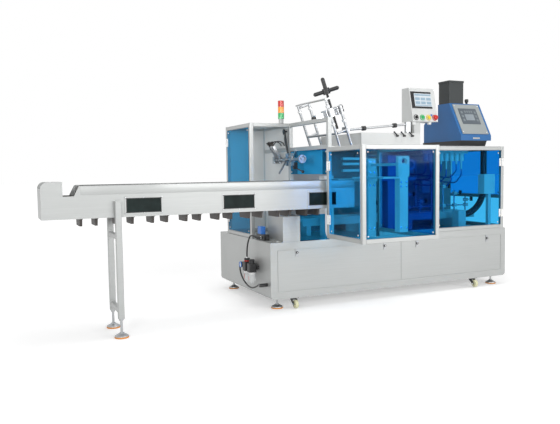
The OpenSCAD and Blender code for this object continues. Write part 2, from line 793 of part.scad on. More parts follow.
module hinge_plate(side, z, h) {
    translate([side > 0 ? pin_out : -hinge_leaf, pin_out - leaf_t, 0])
        cube([hinge_leaf - pin_out, leaf_t, hinge_h]);
    translate([side > 0 ? 0 : -pin_out - 1, pin_out - leaf_t, z]) cube([pin_out + 1, leaf_t, h]);
}

module hinge_on_post() {
    for (z = [0, hinge_h - knuckle_h]) {
        hinge_plate(1, z, knuckle_h);
        translate([0, 0, z]) cylinder(d = knuckle_d, h = knuckle_h);
    }
    cylinder(d = pin_d, h = hinge_h);
}

module hinge_on_door() difference() {
    union() {
        hinge_plate(-1, (hinge_h - knuckle_h) / 2, knuckle_h);
        translate([0, 0, (hinge_h - knuckle_h) / 2]) cylinder(d = knuckle_d, h = knuckle_h);
    }
    translate([0, 0, -1]) cylinder(d = pin_d + 2 * pin_gap, h = hinge_h + 2);
}

// Both hinges of a door between heights z0 and z1, with the pin at x and y
module at_front_hinges(x, z0, z1) for (z = [z0 + hinge_in, z1 - hinge_in - hinge_h])
    translate([x, -pin_out, z]) children();
module at_side_hinges(x, y, z0, z1) for (z = [z0 + hinge_in, z1 - hinge_in - hinge_h])
    translate([x - pin_out, y, z]) rotate([0, 0, 90]) mirror([0, 1, 0]) children();

module at_cage_hinges() at_side_hinges(cage_in, cage_y1 - tube, base_z + tube, cage_top - tube) children();
module at_guard_hinges() at_side_hinges(guard_x, guard_y1 - tube, guard_z + tube,
    guard_top - tube) children();
module at_right_hinges() at_front_hinges(roof_x1 - tube, base_z + tube, roof_z - tube) children();

module door_hinges() place() color("#eeeeee") {
    at_cage_hinges() hinge_on_post();
    at_guard_hinges() hinge_on_post();
    at_right_hinges() hinge_on_post();
}

module side_door(x, y0, y1, z0, z1)
    slab(x, x + pane_t, y0 + door_gap, y1 - door_gap, z0 + door_gap, z1 - door_gap);

module cage_door() place() color("#1c78c8", 0.6) {
    side_door(cage_in, cage_y + tube, cage_y1 - tube, base_z + tube, cage_top - tube);
    at_cage_hinges() hinge_on_door();
}

module front_guard_door() place() color("#1c78c8", 0.6) {
    side_door(guard_x, guard_y + tube, guard_y1 - tube, guard_z + tube, guard_top - tube);
    at_guard_hinges() hinge_on_door();
}

module right_guard_door() place() color("#1c78c8", 0.6) {
    slab(mid_post + tube + door_gap, roof_x1 - tube - door_gap, 0, pane_t,
        base_z + tube + door_gap, roof_z - tube - door_gap);
    at_right_hinges() hinge_on_door();
}

module cover_sheets() place() color("#c8c9c9") {
    slab(roof_x0, roof_x1, 0, roof_y1, roof_z, roof_z + sheet_t);
    slab(roof_x0, roof_x0 + hood_l, 0, hood_w, roof_z + sheet_t + fit_gap, roof_z + hood_h);
    slab(cage_in + tube, guard_x, cage_y1 - tube + pane_in, cage_y1 - tube + pane_in + sheet_t,
        base_z + tube, cage_top - tube);
    slab(cage_in + tube, guard_x, cage_y + tube, cage_y1 - tube,
        cage_top - pane_in - sheet_t, cage_top - pane_in);
    for (z = [[base_z + tube, roof_z - tube], [roof_z, cage_top - tube]])
        slab(guard_x + pane_in, guard_x + pane_in + sheet_t, cage_y + tube, cage_y1 - tube, z[0], z[1]);
}

// Signal tower on the cage

module signal_tower() place() color("#d8d8d8") translate([signal_x, signal_y, cage_top]) {
    cylinder(d = signal_d * 0.8, h = signal_base_h);
    for (i = [1 : 3]) translate([0, 0, signal_base_h + i * (lens_h + lens_gap) - lens_gap])
        cylinder(d = signal_d * 0.9, h = lens_gap);
}

module signal_lenses() place() color("#30b060") translate([signal_x, signal_y, cage_top]) for (i = [0 : 2])
    translate([0, 0, signal_base_h + i * (lens_h + lens_gap)]) cylinder(d = signal_d, h = lens_h);

// Operator panel, drawn with x to the right, y into the box and z up from its lower left front corner

module at_panel()
    translate([panel_box_x, panel_box_y, roof_z + panel_post_h]) rotate([-panel_tilt, 0, 0]) children();

// The wedge-shaped box: a sloped face, an upright back and a level top and bottom
module panel_shell() translate([panel_box_x, panel_box_y, roof_z + panel_post_h])
    side_profile(panel_box_w) polygon([[0, 0], [panel_box_d, 0], [panel_box_d, panel_box_h * cos(panel_tilt)],
        [panel_box_h * sin(panel_tilt), panel_box_h * cos(panel_tilt)]]);

// Button places along the row: selector, start, reset, emergency stop
module at_button(i, y = 0)
    translate([button_in + i * button_pitch, y, button_z]) rotate([90, 0, 0]) children();

module panel_post() place() color("#d4d4d2")
    translate([panel_box_x + panel_post_in, panel_box_y + panel_post_in, roof_z + sheet_t]) {
        linear_extrude(panel_post_h - sheet_t) soft_square(panel_post_w, panel_post_w, panel_post_w / 8);
        translate([-post_flange, -post_flange, 0]) linear_extrude(post_flange_t)
            soft_square(panel_post_w + 2 * post_flange, panel_post_w + 2 * post_flange, post_flange / 2);
    }

module panel_box() place() color("#d8d8d6") difference() {
    union() {
        panel_shell();
        at_panel() for (i = [0 : 3]) at_button(i, 1) cylinder(d = button_d + 2 * collar_t, h = collar_h + 1);
    }
    at_panel() translate([screen_in - fit_gap, -1, panel_box_h - screen_drop - screen_h - fit_gap])
        cube([screen_w + 2 * fit_gap, screen_t + 1, screen_h + 2 * fit_gap]);
    at_panel() for (i = [0 : 3]) {
        at_button(i, stem_l + button_travel + 2) cylinder(d = button_stem_d + 2 * fit_gap, h = panel_box_d);
        at_button(i) cylinder(d = button_d + 2 * fit_gap, h = panel_box_d);
    }
}

module panel_screen() place() color("#202428") at_panel()
    translate([screen_in, -screen_out, panel_box_h - screen_drop - screen_h])
        cube([screen_w, screen_t + screen_out, screen_h]);

module button_cap(i, d, h) {
    at_button(i, stem_l) cylinder(d = button_stem_d, h = stem_l + button_travel + 2);
    at_button(i, -button_travel - 1) cylinder(d = d, h = h);
}

module selector_knob() place() color("#1c1e1e") at_panel() {
    button_cap(0, button_d, collar_h);
    at_button(0, -button_travel - collar_h) translate([-3.5, -button_d * 0.4, 0])
        cube([7, button_d * 0.8, 12]);
}
module start_button() place() color("#30a060") at_panel() button_cap(1, button_d, collar_h + 4);
module reset_button() place() color("#d8c83a") at_panel() button_cap(2, button_d, collar_h + 4);
module stop_button() place() color("#d03a20") at_panel() {
    button_cap(3, button_d, collar_h + 5);
    at_button(3, -button_travel - collar_h - 5) rotate_extrude()
        polygon([[0, 0], [stop_d / 2 - 2, 0], [stop_d / 2, 3], [stop_d / 2 - 3, 10], [stop_d / 4, 14],
            [0, 15]]);
}

// Hot-melt unit, drawn in y and z from the foot's top at its front

module at_melter() translate([melter_x, melter_y, roof_z + sheet_t]) children();

module melter_foot() place() color("#0c2424") at_melter() {
    side_profile(melter_w - 2 * melter_foot_in) polygon([[melter_foot_in, 0],
        [melter_d + tank_d - melter_foot_in, 0],
        [melter_d + tank_d, melter_foot_h], [0, melter_foot_h]]);
}

module melter_body() place() color("#3a62a0") at_melter() translate([0, 0, melter_foot_h]) {
    side_profile(melter_w) polygon([[0, 0], [melter_d, 0], [melter_d, melter_h], [melter_d - melter_top,
        melter_h],
        [0, melter_lip]]);
    translate([tank_in, 0, 0]) side_profile(melter_w - 2 * tank_in)
        polygon([[melter_d - 1, 0], [melter_d + tank_d, 0], [melter_d + tank_d, tank_h - 30],
            [melter_d + tank_d - 30, tank_h], [melter_d - 1, tank_h]]);
}

// The sloped front face of the melter's body

module melter_panel() place() color("#b0bab0") at_melter() translate([0, 0, melter_foot_h + melter_lip])
    rotate([-slope_a, 0, 0]) translate([melter_panel_in, -melter_panel_t, melter_panel_in / 2])
        cube([melter_w - 2 * melter_panel_in, melter_panel_t, slope_l - melter_panel_in]);

module melter_hopper() place() color("#3a4040") at_melter()
    translate([hopper_in, melter_d - hopper_d, melter_foot_h + melter_h]) {
        linear_extrude(hopper_h - hopper_lid + 1) soft_square(hopper_w, hopper_d, 8);
        translate([-4, -4, hopper_h - hopper_lid])
            linear_extrude(hopper_lid) soft_square(hopper_w + 8, hopper_d + 8, 10);
        translate([melter_w - hopper_in - knob_in, hopper_d / 2, 0]) rotate_extrude()
            polygon([[0, 0], [knob_d * 0.3, 0], [knob_d * 0.3, knob_h * 0.4], [knob_d / 2, knob_h * 0.5],
                [knob_d / 2, knob_h * 0.9], [knob_d * 0.4, knob_h], [0, knob_h]]);
    }

// Air preparation unit on the cabinet's left end

module air_unit() place() color("#16201e") translate([0, 0, air_z]) {
    slab(-air_out + air_w / 2, 0, air_ys[0] - air_w / 2, air_ys[1] + air_w / 2, air_h * 0.3, air_h * 0.7);
    for (y = air_ys) translate([-air_out, y, 0]) {
        translate([-air_w / 2, -air_w / 2, 0]) linear_extrude(air_h) soft_square(air_w, air_w, 8);
        translate([0, 0, air_h - 1]) cylinder(d = air_w * 0.7, h = air_knob_h + 1);
    }
    translate([-air_out, air_ys[1], air_h + air_knob_h - 1]) cylinder(d = air_port_d, h = air_port_h + 1);
    slab(-air_out - air_w / 4, -air_out + air_w / 4, air_ys[0], air_ys[1], air_h * 0.3, air_h * 0.7);
    translate([-air_out, air_ys[1] + air_w / 2 - 1, air_h / 2])
        rotate([-90, 0, 0]) cylinder(d = air_port_d, h = air_gauge_out + 1);
    translate([-air_out + 8, air_ys[1] + air_w / 2 + air_gauge_out, air_h / 2])
        rotate([0, -90, 0]) cylinder(d = air_gauge_d, h = 24);
    translate([0, bulkhead_y, bulkhead_z - air_z]) {
        rotate([0, -90, 0]) cylinder(d = bulkhead_d, h = air_out + bulkhead_d / 2);
        translate([-air_out, 0, 0]) rotate([-90, 0, 0]) cylinder(d = air_port_d, h = bulkhead_d);
    }
}

// Shut-off valve on the cabinet's top, fed by the air unit's upper hose

module air_valve() place() color("#16201e") {
    slab(valve_in, valve_in + valve_body, valve_y, valve_y + valve_l, base_z, base_z + valve_body);
    translate([valve_in, valve_y + valve_port, base_z + valve_body / 2])
        rotate([0, -90, 0]) cylinder(d = air_port_d, h = valve_in - valve_nose);
    translate([valve_in + valve_body / 2, valve_y, base_z + valve_body / 2])
        rotate([90, 0, 0]) cylinder(d = air_port_d * 1.5, h = air_port_d);
}

module valve_coil() place() color("#2a5cb0")
    translate([valve_in + 4, valve_y + valve_l * 0.4, base_z + valve_body]) linear_extrude(coil_h)
        soft_square(valve_body - 8, valve_l * 0.5, 6);

// One free hose swept along its points: a ring of sides in the plane across the path at each point
function along(p, i) = let (d = p[min(i + 1, len(p) - 1)] - p[max(i - 1, 0)]) d / norm(d);
function across(t) = let (u = cross(t, [0.31, 0.12, 0.94])) u / norm(u);
function hose_ring(p, i, r) = let (t = along(p, i), u = across(t), w = cross(t, u))
    [for (k = [0 : hose_sides - 1]) let (a = k * 360 / hose_sides) p[i] + r * (cos(a) * u + sin(a) * w)];

module swept_hose(p, d) polyhedron(
    points = [for (i = [0 : len(p) - 1]) each hose_ring(p, i, d / 2)],
    faces = concat([[for (k = [0 : hose_sides - 1]) k]],
        [for (i = [0 : len(p) - 2], k = [0 : hose_sides - 1]) let (n = (k + 1) % hose_sides,
            a = i * hose_sides)
            [a + n, a + k, a + hose_sides + k, a + hose_sides + n]],
        [[for (k = [hose_sides - 1 : -1 : 0]) (len(p) - 1) * hose_sides + k]]));

module air_hose_upper() place() color("#141618") swept_hose(upper_path, air_hose_d);

module air_hose_lower() place() color("#141618") swept_hose(lower_path, air_hose_d);

module air_bowls() place() color("#d8dcdc", 0.7) for (y = air_ys) translate([-air_out, y, air_z])
    rotate_extrude() polygon([[0, 0], [air_w * 0.44, 0], [air_w * 0.44, -air_bowl_h + 12],
        [air_w * 0.36, -air_bowl_h], [6, -air_bowl_h], [6, -air_bowl_h - 12], [0, -air_bowl_h - 12]]);

// Carton magazine, drawn along its leaning rods from the top of the rails

module leaning() translate([magazine_x, magazine_y, roof_z]) rotate([0, -lean, 0]) children();

module above_rails() difference() {
    children();
    slab(0, base_l, magazine_y - tube, magazine_y + magazine_w + tube, base_z, roof_z);
}

module magazine_rods() above_rails() leaning() {
    for (r = [[0, 0, rod_l], [rod_gap, 0, near_rod_l], [0, magazine_w, rod_l], [rod_gap, magazine_w, rod_l]])
        translate([r[0], r[1], -tube]) cylinder(d = rod_d, h = r[2] + tube);
    translate([0, rod_end, cross_low]) rotate([-90, 0, 0]) cylinder(d = bar_d, h = magazine_w - 2 * rod_end);
    for (y = [0, magazine_w]) translate([rod_end, y, cross_low])
        rotate([0, 90, 0]) cylinder(d = bar_d, h = rod_gap - 2 * rod_end);
    translate([0, 0, rod_l]) slab(-top_bar_over, top_bar_w - top_bar_over, -top_bar_over,
        magazine_w + top_bar_over, 0, top_bar_t);
    translate([rod_end, magazine_w, rod_l - bar_d])
        rotate([0, 90, 0]) cylinder(d = bar_d, h = rod_gap - 2 * rod_end);
}

// Slide block on the near rods with its adjusting screw
module magazine_adjuster() place() color("#b4b6b6") leaning() {
    difference() {
        slab(-block_side, rod_gap + block_side, screw_y - screw_d, screw_y + screw_d, block_z,
            block_z + block_h);
        translate([screw_x, screw_y, block_z - 1]) cylinder(d = screw_d + 2 * pin_gap, h = block_h + 2);
    }
    for (x = [0, rod_gap]) slab(x - rod_d, x + rod_d, rod_d / 2 + fit_gap, screw_y - screw_d + 1,
        block_z, block_z + block_h);
    slab(-block_side - lug_l, -block_side + 1, screw_y - screw_d, screw_y + screw_d,
        block_z + (block_h - lug_h) / 2, block_z + (block_h + lug_h) / 2);
}

module hand_crank() place() color("#16181a") leaning() translate([screw_x, screw_y, 0]) {
    translate([0, 0, screw_low]) cylinder(d = screw_d, h = block_z + crank_up - screw_low);
    translate([0, 0, block_z + crank_up - 1]) {
        cylinder(d = crank_hub_d, h = crank_hub);
        translate([0, 0, crank_hub - 1]) cylinder(d = crank_arm_d, h = crank_grip - crank_arm_d / 2);
        translate([0, 0, crank_hub - 1 + crank_grip - crank_arm_d / 2]) sphere(d = crank_arm_d);
        translate([0, 0, crank_hub / 2]) for (a = [crank_turn, crank_turn + 180]) rotate([0, 90, a]) {
            cylinder(d = crank_arm_d, h = crank_r);
            translate([0, 0, crank_r]) sphere(d = crank_arm_d);
        }
    }
}

// Stay bar from the magazine's near rod to a post on the hood, with its clamps and levers

module at_stay(l) translate([stay_x0 + l * cos(stay_a), stay_y, stay_z0 + l * sin(stay_a)])
    rotate([0, 90 - stay_a, 0]) children();

module stay_bar() {
    at_stay(0) cylinder(d = stay_d, h = stay_l);
    slab(stay_x0 - stay_clamp / 2, stay_x0 + stay_clamp / 2, magazine_y + rod_d / 2 + fit_gap,
        stay_y + stay_d,
        stay_z0 - stay_clamp / 2, stay_z0 + stay_clamp / 2);
    slab(stay_x1 - stay_clamp / 2, stay_x1 + stay_clamp / 2, stay_y - stay_d * 0.7, stay_y + stay_d * 0.7,
        hood_z, stay_z1 + stay_d);
}

module magazine_frame() place() color("#bcbebe") {
    magazine_rods();
    stay_bar();
}

module clamp_levers() place() color("#16181a") {
    for (l = collar_ls) at_stay(l) difference() {
        cylinder(d = stay_d * 2, h = collar_l);
        translate([0, 0, -1]) cylinder(d = stay_d + 2 * fit_gap, h = collar_l + 2);
    }
    for (x = lever_xs) translate([x, 0, hood_z - lever_drop]) {
        rotate([90, 0, 0]) cylinder(d = lever_d * 1.6, h = lever_out);
        translate([0, -lever_out + lever_d / 2, 0]) rotate([0, -50, 0]) {
            cylinder(d = lever_d, h = lever_l);
            translate([0, 0, lever_l]) sphere(d = lever_d * 1.4);
        }
    }
}

// Rotary carton picker in the cage

module carton_picker() place() color("#a8acae") {
    translate([picker_x, picker_y0, picker_z]) rotate([-90, 0, 0]) {
        cylinder(d = picker_d, h = picker_y1 - picker_y0);
        difference() {
            cylinder(d = roller_d, h = roller_w);
            translate([0, 0, -1]) cylinder(d = roller_d * 0.7, h = roller_w / 2);
        }
    }
    slab(picker_x - bearing_w / 2, guard_x + pane_in, picker_y1 - bearing_t, picker_y1,
        picker_z - bearing_w / 2, picker_z + bearing_w / 2);
    for (y = clamp_ys) translate([picker_x, y, picker_z]) {
        rotate([-90, 0, 0]) cylinder(d = clamp_d, h = clamp_w);
        slab(-ear_w / 2, ear_w / 2, 0, clamp_w, -clamp_d / 2 - ear_h / 2, clamp_d / 2 + ear_h / 2);
    }
    translate([picker_x, clamp_ys[1] + clamp_w / 4, picker_z]) rotate([45, 0, 0])
        slab(-arm_w / 4, arm_w / 4, 0, clamp_w / 2, 0, arm_l * 0.7);
    translate([picker_x, clamp_ys[0] + clamp_w / 4, picker_z]) rotate([0, 212, 0])
        slab(-arm_w / 4, arm_w / 4, 0, clamp_w / 2, 0, arm_l);
    for (y = picker_arms) translate([picker_x, y - arm_t / 2, picker_z]) {
        rotate([-90, 0, 0]) cylinder(d = 2 * picker_d, h = arm_t);
        rotate([0, arm_a, 0]) slab(-arm_w / 2, arm_w / 2, 0, arm_t, 0, arm_l);
    }
}

// Drive link from the cage's side plate to the shaft's clamp, and the hand lever under the other clamp
module picker_levers() place() color("#1c1e1e") {
    translate([picker_x + ear_w / 2 + fit_gap, 0, 0]) side_profile(link_t) difference() {
        union() {
            translate(link_top) circle(link_r);
            translate(link_low) circle(link_r / 2);
            polygon([link_top + [-link_r, 0], link_low + [-link_r / 2, 0], link_low + [link_r / 2, 0],
                link_top + [link_r, 0]]);
        }
        polygon([link_top + [-link_r / 2, -link_r], link_top + [-link_r / 8, -link_r * 4],
            link_top + [link_r / 8, -link_r * 4], link_top + [link_r / 2, -link_r]]);
    }
    translate([picker_x + ear_w / 2 + fit_gap, link_top[0], link_top[1]])
        rotate([0, 90, 0]) cylinder(d = link_pin, h = guard_x + pane_in - picker_x - ear_w / 2 - fit_gap);
    translate([picker_x + ear_w / 2 + fit_gap, clamp_ys[1] - 2, picker_z - clamp_d / 2 - ear_h]) {
        cube([ear_w * 1.75, clamp_w + 4, ear_h]);
        translate([ear_w, clamp_w / 2, lever_d]) rotate([104, 0, 0]) {
            cylinder(d = lever_d, h = arm_l);
            translate([0, 0, arm_l]) sphere(d = lever_d * 2.4);
        }
    }
}

module suction_cups() place() color("#2a3236") for (y = picker_arms)
    translate([picker_x, y, picker_z]) rotate([0, arm_a, 0]) translate([0, 0, arm_l]) rotate_extrude()
        polygon([[0, 0], [10, 0], [10, 18], [16, 20], [16, 24], [10, 26], [18, 36], [14, 36], [8, 28],
            [0, 28]]);

// Machine wall, drive columns, beam and guide rods behind the front guard

module drive_wall() place() color("#7c8084")
    slab(wall_x0, roof_x1 - 2 * tube, wall_y, wall_y + wall_t, base_z, roof_z - tube);

// Carton pusher in the front guard box: a column with guide rods, and a table with its drive below it
module pusher() {
    slab(pusher_x, pusher_x + pusher_w, 0, pusher_d, base_z, base_z + pusher_h);
    for (z = guide_zs) rail_x(conveyor_tail + tube, pusher_x + 1, pusher_d / 3, z, guide_d);
    slab(pusher_left, pusher_x + pusher_w, -pusher_out, 1, pusher_z, pusher_z + pusher_t);
    slab(pusher_x, pusher_x + pusher_w, -pusher_out, -pusher_out + pusher_d, guard_z + tube, pusher_z + 1);
    rail_y(-pusher_out, 1, pusher_x + (pusher_w - guide_d) / 2, guide_zs[1] - guide_d / 2, guide_d);
    translate([pusher_x + pusher_w / 2, -pusher_out, 0]) upright(0, pusher_d / 2) difference() {
        translate([-bracket_w / 2, pusher_z + pusher_t - 1])
            soft_square(bracket_w, guide_zs[1] + bracket_w / 2 - pusher_z, 12);
        translate([bracket_w * 0.05, guide_zs[1] + guide_d]) circle(d = bracket_w / 2);
    }
}

// Valves hanging in a row from the roof of the right bay
module valve_bank() {
    slab(valve_x - valve_w, valve_x + valve_count * valve_pitch, column_y, column_y + column_w / 2,
        roof_z - tube - valve_w / 2, roof_z);
    for (i = [0 : valve_count - 1]) translate([valve_x + i * valve_pitch, column_y + column_w / 4, 0]) {
        translate([0, 0, roof_z - tube - valve_w * 2]) cylinder(d = valve_w, h = valve_w * 1.5);
        translate([0, 0, roof_z - tube - valve_w * (2.6 + i % 3)])
            cylinder(d = valve_w / 3, h = valve_w * (0.7 + i % 3));
    }
}

module drive_frame() place() color("#9aa0a4") {
    valve_bank();
    for (c = drive_columns) slab(c[0], c[0] + column_w, column_y, column_y + column_w, base_z, base_z + c[1]);
    slab(drive_columns[0][0], drum_x + drum_d, column_y - beam_h, column_y, beam_z, beam_z + beam_h);
    pusher();
    slab(drum_x - column_w / 4, drum_x + column_w / 4, column_y, wall_y, guide_zs[1] - column_w / 4,
        guide_zs[1] + column_w / 4);
    translate([drum_x, column_y, guide_zs[1]]) rotate([90, 0, 0]) difference() {
        cylinder(d = drum_d, h = column_w);
        translate([0, 0, column_w / 2]) cylinder(d = drum_d * 0.6, h = column_w);
    }
    slab(hose_x - hose_r - gun_w, hose_x - hose_r, melter_y + hose_in - gun_w / 2,
        melter_y + hose_in + gun_w / 2,
        base_z, hose_z + gun_w / 2);
    slab(control_x + control_w / 2, control_x + control_w / 2 + tube, control_y + tube / 2,
        control_y + tube * 1.5,
        base_z, control_z);
    slab(control_x, control_x + control_w, control_y, control_y + control_d, control_z,
        control_z + control_h);
}

module carton_track() place() color("#8c9094") {
    for (y = track_ys) slab(track_x0, roof_x1 - 2 * tube, y, y + track_w, track_z, track_z + track_h);
    for (x = [track_x0 + track_foot : track_pitch : roof_x1 - 2 * tube - track_foot])
        slab(x, x + track_foot, track_ys[0] + track_w / 2, track_ys[1] + track_w / 2, base_z,
            track_z + track_h / 2);
    slab(chute_x, chute_x + chute_t, magazine_y - tube / 2, cage_y, conveyor_top + bay_gap, roof_z - tube);
}

// Glue hose from the roof down to the glue gun, in one bend
module glue_hose() place() color("#203a70") translate([hose_x, melter_y + hose_in, hose_z]) {
    translate([0, 0, hose_r]) cylinder(d = hose_d, h = roof_z - hose_z - hose_r);
    translate([-hose_r, 0, hose_r]) rotate([90, 0, 0])
        rotate_extrude(angle = -90) translate([hose_r, 0]) circle(d = hose_d);
}

base_cabinet();
base_panels();
panel_latches();
levelling_feet();
foot_rings();
castor_plates();
castor_fork_front_left();
castor_fork_front_right();
castor_fork_rear_left();
castor_fork_rear_right();
castor_wheel_front_left();
castor_wheel_front_right();
castor_wheel_rear_left();
castor_wheel_rear_right();
conveyor_plates();
conveyor_windows();
conveyor_bed();
bucket_chain();
bucket_flights();
conveyor_stand();
conveyor_pedestal();
guard_posts();
guard_rails();
guard_panes();
door_hinges();
cage_door();
front_guard_door();
right_guard_door();
cover_sheets();
signal_tower();
signal_lenses();
panel_post();
panel_box();
panel_screen();
selector_knob();
start_button();
reset_button();
stop_button();
melter_foot();
melter_body();
melter_panel();
melter_hopper();
air_unit();
air_bowls();
air_valve();
valve_coil();
air_hose_upper();
air_hose_lower();
magazine_frame();
magazine_adjuster();
hand_crank();
clamp_levers();
carton_picker();
picker_levers();
suction_cups();
drive_wall();
drive_frame();
carton_track();
glue_hose();
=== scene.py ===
"""Dresses the automatic cartoner: finishes on its solids, and the small pieces that they carry."""
import math

import bpy
import numpy as np
from bpy.props import FloatProperty, FloatVectorProperty, PointerProperty
from mathutils import Matrix, Vector


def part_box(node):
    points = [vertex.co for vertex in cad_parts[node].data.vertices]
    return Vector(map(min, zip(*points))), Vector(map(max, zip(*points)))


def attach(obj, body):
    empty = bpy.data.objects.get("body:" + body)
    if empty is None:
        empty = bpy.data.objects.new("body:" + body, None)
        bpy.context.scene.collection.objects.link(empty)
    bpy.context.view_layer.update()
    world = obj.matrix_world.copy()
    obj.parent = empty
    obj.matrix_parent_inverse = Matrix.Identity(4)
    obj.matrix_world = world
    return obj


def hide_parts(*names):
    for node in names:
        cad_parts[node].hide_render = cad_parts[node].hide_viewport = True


bl_info = {
    "name": "Automatic cartoner",
    "version": (1, 0, 0),
    "blender": (4, 5, 0),
    "location": "View3D > Sidebar > Cartoner",
    "description": "Finishes and small pieces of an automatic cartoner",
    "category": "Object",
}

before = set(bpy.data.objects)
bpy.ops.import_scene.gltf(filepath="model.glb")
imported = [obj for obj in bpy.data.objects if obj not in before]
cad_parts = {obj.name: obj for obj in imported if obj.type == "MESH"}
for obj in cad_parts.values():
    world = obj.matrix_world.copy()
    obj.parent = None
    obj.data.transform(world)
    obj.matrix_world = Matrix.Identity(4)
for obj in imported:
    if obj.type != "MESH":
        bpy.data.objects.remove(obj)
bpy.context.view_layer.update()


# Shapes: each is a pair of its points, as rows of an array, and its faces, as lists of indices

CORNER_STEPS, EDGE_STEPS = 3, 2


def loft(rings):
    """Carries closed rings into one skin: four points, j and j + 1 of ring i and of ring i + 1, make a face.

    Both ends are closed flat.
    """
    count, around = rings.shape[:2]
    i, j = np.meshgrid(np.arange(count - 1), np.arange(around), indexing="ij")
    k = (j + 1) % around
    quads = np.stack([i * around + j, i * around + k, (i + 1) * around + k, (i + 1) * around + j], -1)
    faces = quads.reshape(-1, 4).tolist()
    faces.append(list(range(around))[::-1])
    faces.append(list(range((count - 1) * around, count * around)))
    return rings.reshape(-1, 3), faces


def round_outline(half_a, half_b, radius):
    """Outline of a rectangle with round corners: quarter circles about their centres, anticlockwise."""
    turn = np.arange(4)[:, None] * math.pi / 2 + np.linspace(0, math.pi / 2, CORNER_STEPS + 1)[None]
    sign_a = np.array([1, -1, -1, 1])[:, None]
    sign_b = np.array([1, 1, -1, -1])[:, None]
    a = sign_a * (half_a - radius) + radius * np.cos(turn)
    b = sign_b * (half_b - radius) + radius * np.sin(turn)
    return np.stack([a, b], -1).reshape(-1, 2)


def block(low, high, edge=0.002):
    """Box with round edges: an outline carried up in z, drawn in at both ends along a quarter circle."""
    low, high = np.array(low, float), np.array(high, float)
    mid, half = (low + high) / 2, (high - low) / 2
    edge = min(edge, half.min() * 0.9)
    bend = np.linspace(0, math.pi / 2, EDGE_STEPS + 1)
    drawn = edge * (1 - np.sin(bend))
    height = -half[2] + edge * (1 - np.cos(bend))
    drawn = np.concatenate([drawn, drawn[::-1]])
    height = np.concatenate([height, -height[::-1]])
    outlines = [round_outline(half[0] - d, half[1] - d, max(edge - d * 0.7, 1e-4)) for d in drawn]
    rings = [np.column_stack([outline, np.full(len(outline), h)]) for outline, h in zip(outlines, height)]
    points, faces = loft(np.array(rings))
    return points + mid, faces


def turned(profile, around=24):
    """Profile of (radius, height) rows turned about z: point = (r cos t, r sin t, h)."""
    profile = np.array(profile, float)
    t = np.linspace(0, 2 * math.pi, around, endpoint=False)
    rings = np.stack([profile[:, :1] * np.cos(t), profile[:, :1] * np.sin(t),
                      np.repeat(profile[:, 1:], around, 1)], -1)
    return loft(rings)


def disc(radius, height, edge=0.0008, around=24):
    """Short round piece on z = 0 with a small round edge at its top."""
    return turned([(radius, 0), (radius, height - edge), (radius - edge * 0.3, height - edge * 0.3),
                   (radius - edge, height)], around)


def hex_head(radius, height):
    """Six-sided bolt head with a chamfered top."""
    return turned([(radius, 0), (radius, height * 0.8), (radius * 0.86, height)], 6)


def hose(path, radius, around=10):
    """Circle carried along a path: at each point it stands square to the path's direction."""
    path = np.array(path, float)
    along = np.gradient(path, axis=0)
    along /= np.linalg.norm(along, axis=1, keepdims=True)
    steep = abs(along[:, 2]).max() >= 0.9
    side = np.cross(along, (0.93, 0.31, 0.2) if steep else (0.31, 0.2, 0.93))
    side /= np.linalg.norm(side, axis=1, keepdims=True)
    up = np.cross(side, along)
    t = np.linspace(0, 2 * math.pi, around, endpoint=False)[None, :, None]
    return loft(path[:, None] + radius * (np.cos(t) * side[:, None] + np.sin(t) * up[:, None]))


def smooth_path(points, steps=8):
    """Curve through given points: cubic stretches.

    The slope at a point is half the way from the one before it to the one after it.
    """
    points = np.array(points, float)
    ends = np.vstack([2 * points[0] - points[1], points, 2 * points[-1] - points[-2]])
    t = np.linspace(0, 1, steps, endpoint=False)[None, :, None]
    a, b, c, d = (ends[k:len(ends) - 3 + k][:, None] for k in range(4))
    square, cube = 2 * a - 5 * b + 4 * c - d, 3 * b - a - 3 * c + d
    curve = 0.5 * (2 * b + (c - a) * t + square * t ** 2 + cube * t ** 3)
    return np.vstack([curve.reshape(-1, 3), points[-1:]])


def moved(shape, to=(0, 0, 0), turn=None):
    """The shape turned by a 3x3 matrix, then shifted."""
    points, faces = shape
    if turn is not None:
        points = points @ np.array(turn, float).T
    return points + np.array(to, float), faces


def facing(direction):
    """3x3 matrix that turns z to a direction."""
    z = np.array(direction, float) / np.linalg.norm(direction)
    x = np.cross([0, 0, 1] if abs(z[2]) < 0.9 else [1, 0, 0], z)
    x /= np.linalg.norm(x)
    return np.column_stack([x, np.cross(z, x), z])


def rod(start, end, radius, around=12):
    """Straight round bar from one point to another, with a small chamfer at both ends."""
    start, end = np.array(start, float), np.array(end, float)
    length = float(np.linalg.norm(end - start))
    cut = min(radius * 0.15, length * 0.2)
    profile = [(radius - cut, 0), (radius, cut), (radius, length - cut), (radius - cut, length)]
    return moved(turned(profile, around), start, facing(end - start))


def joined(shapes):
    """Several shapes as one."""
    points, faces, offset = [], [], 0
    for p, f in shapes:
        points.append(p)
        faces += [[i + offset for i in face] for face in f]
        offset += len(p)
    return np.vstack(points), faces


SHARP_ANGLE = math.radians(35)


def add_piece(name, shapes, material, body="machine"):
    """Puts shapes into one mesh object at the origin, gives it its finish and lets it ride on a body."""
    points, faces = joined(shapes)
    mesh = bpy.data.meshes.new(name)
    mesh.from_pydata(points.tolist(), [], faces)
    mesh.materials.append(finish(material))
    mesh.shade_smooth()
    mesh.set_sharp_from_angle(angle=SHARP_ANGLE)
    piece = bpy.data.objects.new(name, mesh)
    bpy.context.scene.collection.objects.link(piece)
    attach(piece, body)
    return piece


# Colours and sizes that a user would change

def linear(red, green, blue):
    """Display values of 0 to 255 as linear light.

    The dark part is c / 12.92, and above it ((c + 0.055) / 1.055) to the power 2.4.
    """
    c = np.array([red, green, blue]) / 255
    return tuple(float(v) for v in np.where(c <= 0.04045, c / 12.92, ((c + 0.055) / 1.055) ** 2.4))


